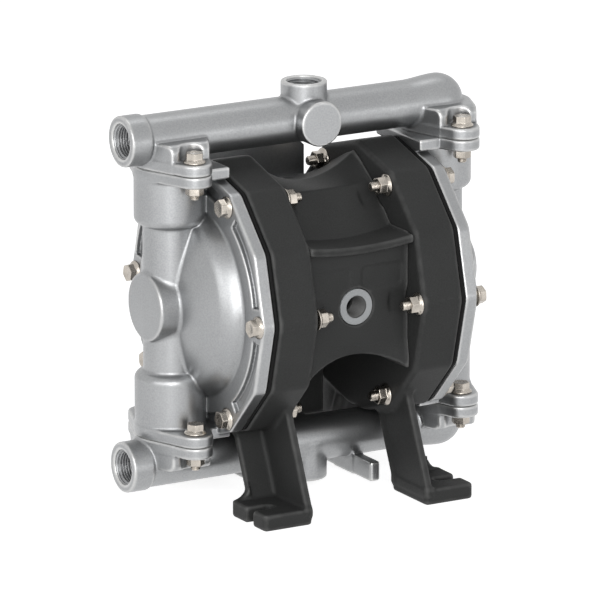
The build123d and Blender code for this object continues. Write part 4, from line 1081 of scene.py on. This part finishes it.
# Room
# A pale floor, soft lights from the front and above, a white backdrop and a camera at the
# photograph's angle.
floor_mesh = bpy.data.meshes.new("floor")
floor_size = 30.0
floor_level = floor_z / 1000
floor_mesh.from_pydata([(-floor_size, -floor_size, floor_level), (floor_size, -floor_size, floor_level),
                        (floor_size, floor_size, floor_level), (-floor_size, floor_size, floor_level)],
                       [], [(0, 1, 2, 3)])
floor_paint, floor_tree, floor_shader = blank("floor_paint")
floor_shader.inputs["Base Color"].default_value = (0.55, 0.55, 0.55, 1)
floor_shader.inputs["Roughness"].default_value = 0.9


def shows_backdrop(tree):
    """One for the rays that show the white background, camera, glossy and transmission, else zero."""
    rays = add(tree, "LightPath").outputs
    shown = rays["Is Camera Ray"]
    for kind in ("Is Glossy Ray", "Is Transmission Ray"):
        shown = add(tree, "Math", {0: shown, 1: rays[kind]}, operation="MAXIMUM").outputs[0]
    return shown


lit_share = add(floor_tree, "Math", {0: shows_backdrop(floor_tree), 1: 0.85}, operation="MULTIPLY").outputs[0]
floor_tree.links.new(lit_share, floor_shader.inputs["Emission Strength"])
floor_shader.inputs["Emission Color"].default_value = (1, 1, 1, 1)
floor_mesh.materials.append(floor_paint)
floor = bpy.data.objects.new("floor", floor_mesh)
bpy.context.scene.collection.objects.link(floor)


pump_middle = Vector((0, 0, 0.1))


def soft_light(name, place, size, power):
    """A square area light that looks at the pump's middle."""
    lamp = bpy.data.lights.new(name, "AREA")
    lamp.size = size
    lamp.energy = power
    holder = bpy.data.objects.new(name, lamp)
    holder.location = place
    holder.rotation_mode = "QUATERNION"
    holder.rotation_quaternion = (pump_middle - Vector(place)).to_track_quat("-Z", "Y")
    bpy.context.scene.collection.objects.link(holder)


soft_light("key_light", (-0.7, -1.6, 0.75), 1.1, 15)
soft_light("side_light", (-1.5, -0.7, 0.6), 1.0, 6)
soft_light("low_light", (-0.9, -1.5, 0.12), 0.5, 3)
soft_light("right_light", (0.8, -1.5, 0.12), 0.6, 1.5)
soft_light("top_light", (0.3, 0.3, 1.6), 0.6, 2)

world = bpy.data.worlds.new("studio")
world.use_nodes = True
bpy.context.scene.world = world
world_tree = world.node_tree
sky = world_tree.nodes["Background"]
direction = add(world_tree, "TexCoord").outputs["Generated"]
ahead = add(world_tree, "VectorMath", {0: direction, 1: (-0.45, -0.85, 0.05)}, operation="DOT_PRODUCT")
front_share = add(world_tree, "MapRange", {"Value": ahead.outputs["Value"],
                                           "From Min": -0.9, "From Max": 0.9})
level = two_tone(world_tree, front_share.outputs[0], 0.1, (0.1, 0.1, 0.105), 0.9, (0.62, 0.62, 0.63))
backdrop = add(world_tree, "Mix", {"Factor": shows_backdrop(world_tree), "A": level, "B": (1, 1, 1, 1)},
               data_type="RGBA")
world_tree.links.new(backdrop.outputs["Result"], sky.inputs["Color"])
sky.inputs["Strength"].default_value = 1.0

view_distance = 5.0
frame_width = 0.372
view_turn = math.radians(-30)
view_rise = math.radians(15)
target = Vector((-0.0027, 0, floor_level + 0.1188))
back = Vector((math.sin(view_turn) * math.cos(view_rise), -math.cos(view_turn) * math.cos(view_rise),
               math.sin(view_rise)))
camera_data = bpy.data.cameras.new("camera")
camera_data.sensor_width = 36
camera_data.lens = camera_data.sensor_width * view_distance / frame_width
camera_data.clip_end = 100
camera = bpy.data.objects.new("camera", camera_data)
camera.location = target + back * view_distance
camera.rotation_mode = "QUATERNION"
camera.rotation_quaternion = (-back).to_track_quat("-Z", "Y")
bpy.context.scene.collection.objects.link(camera)
bpy.context.scene.camera = camera
bpy.context.scene.view_settings.view_transform = "Standard"
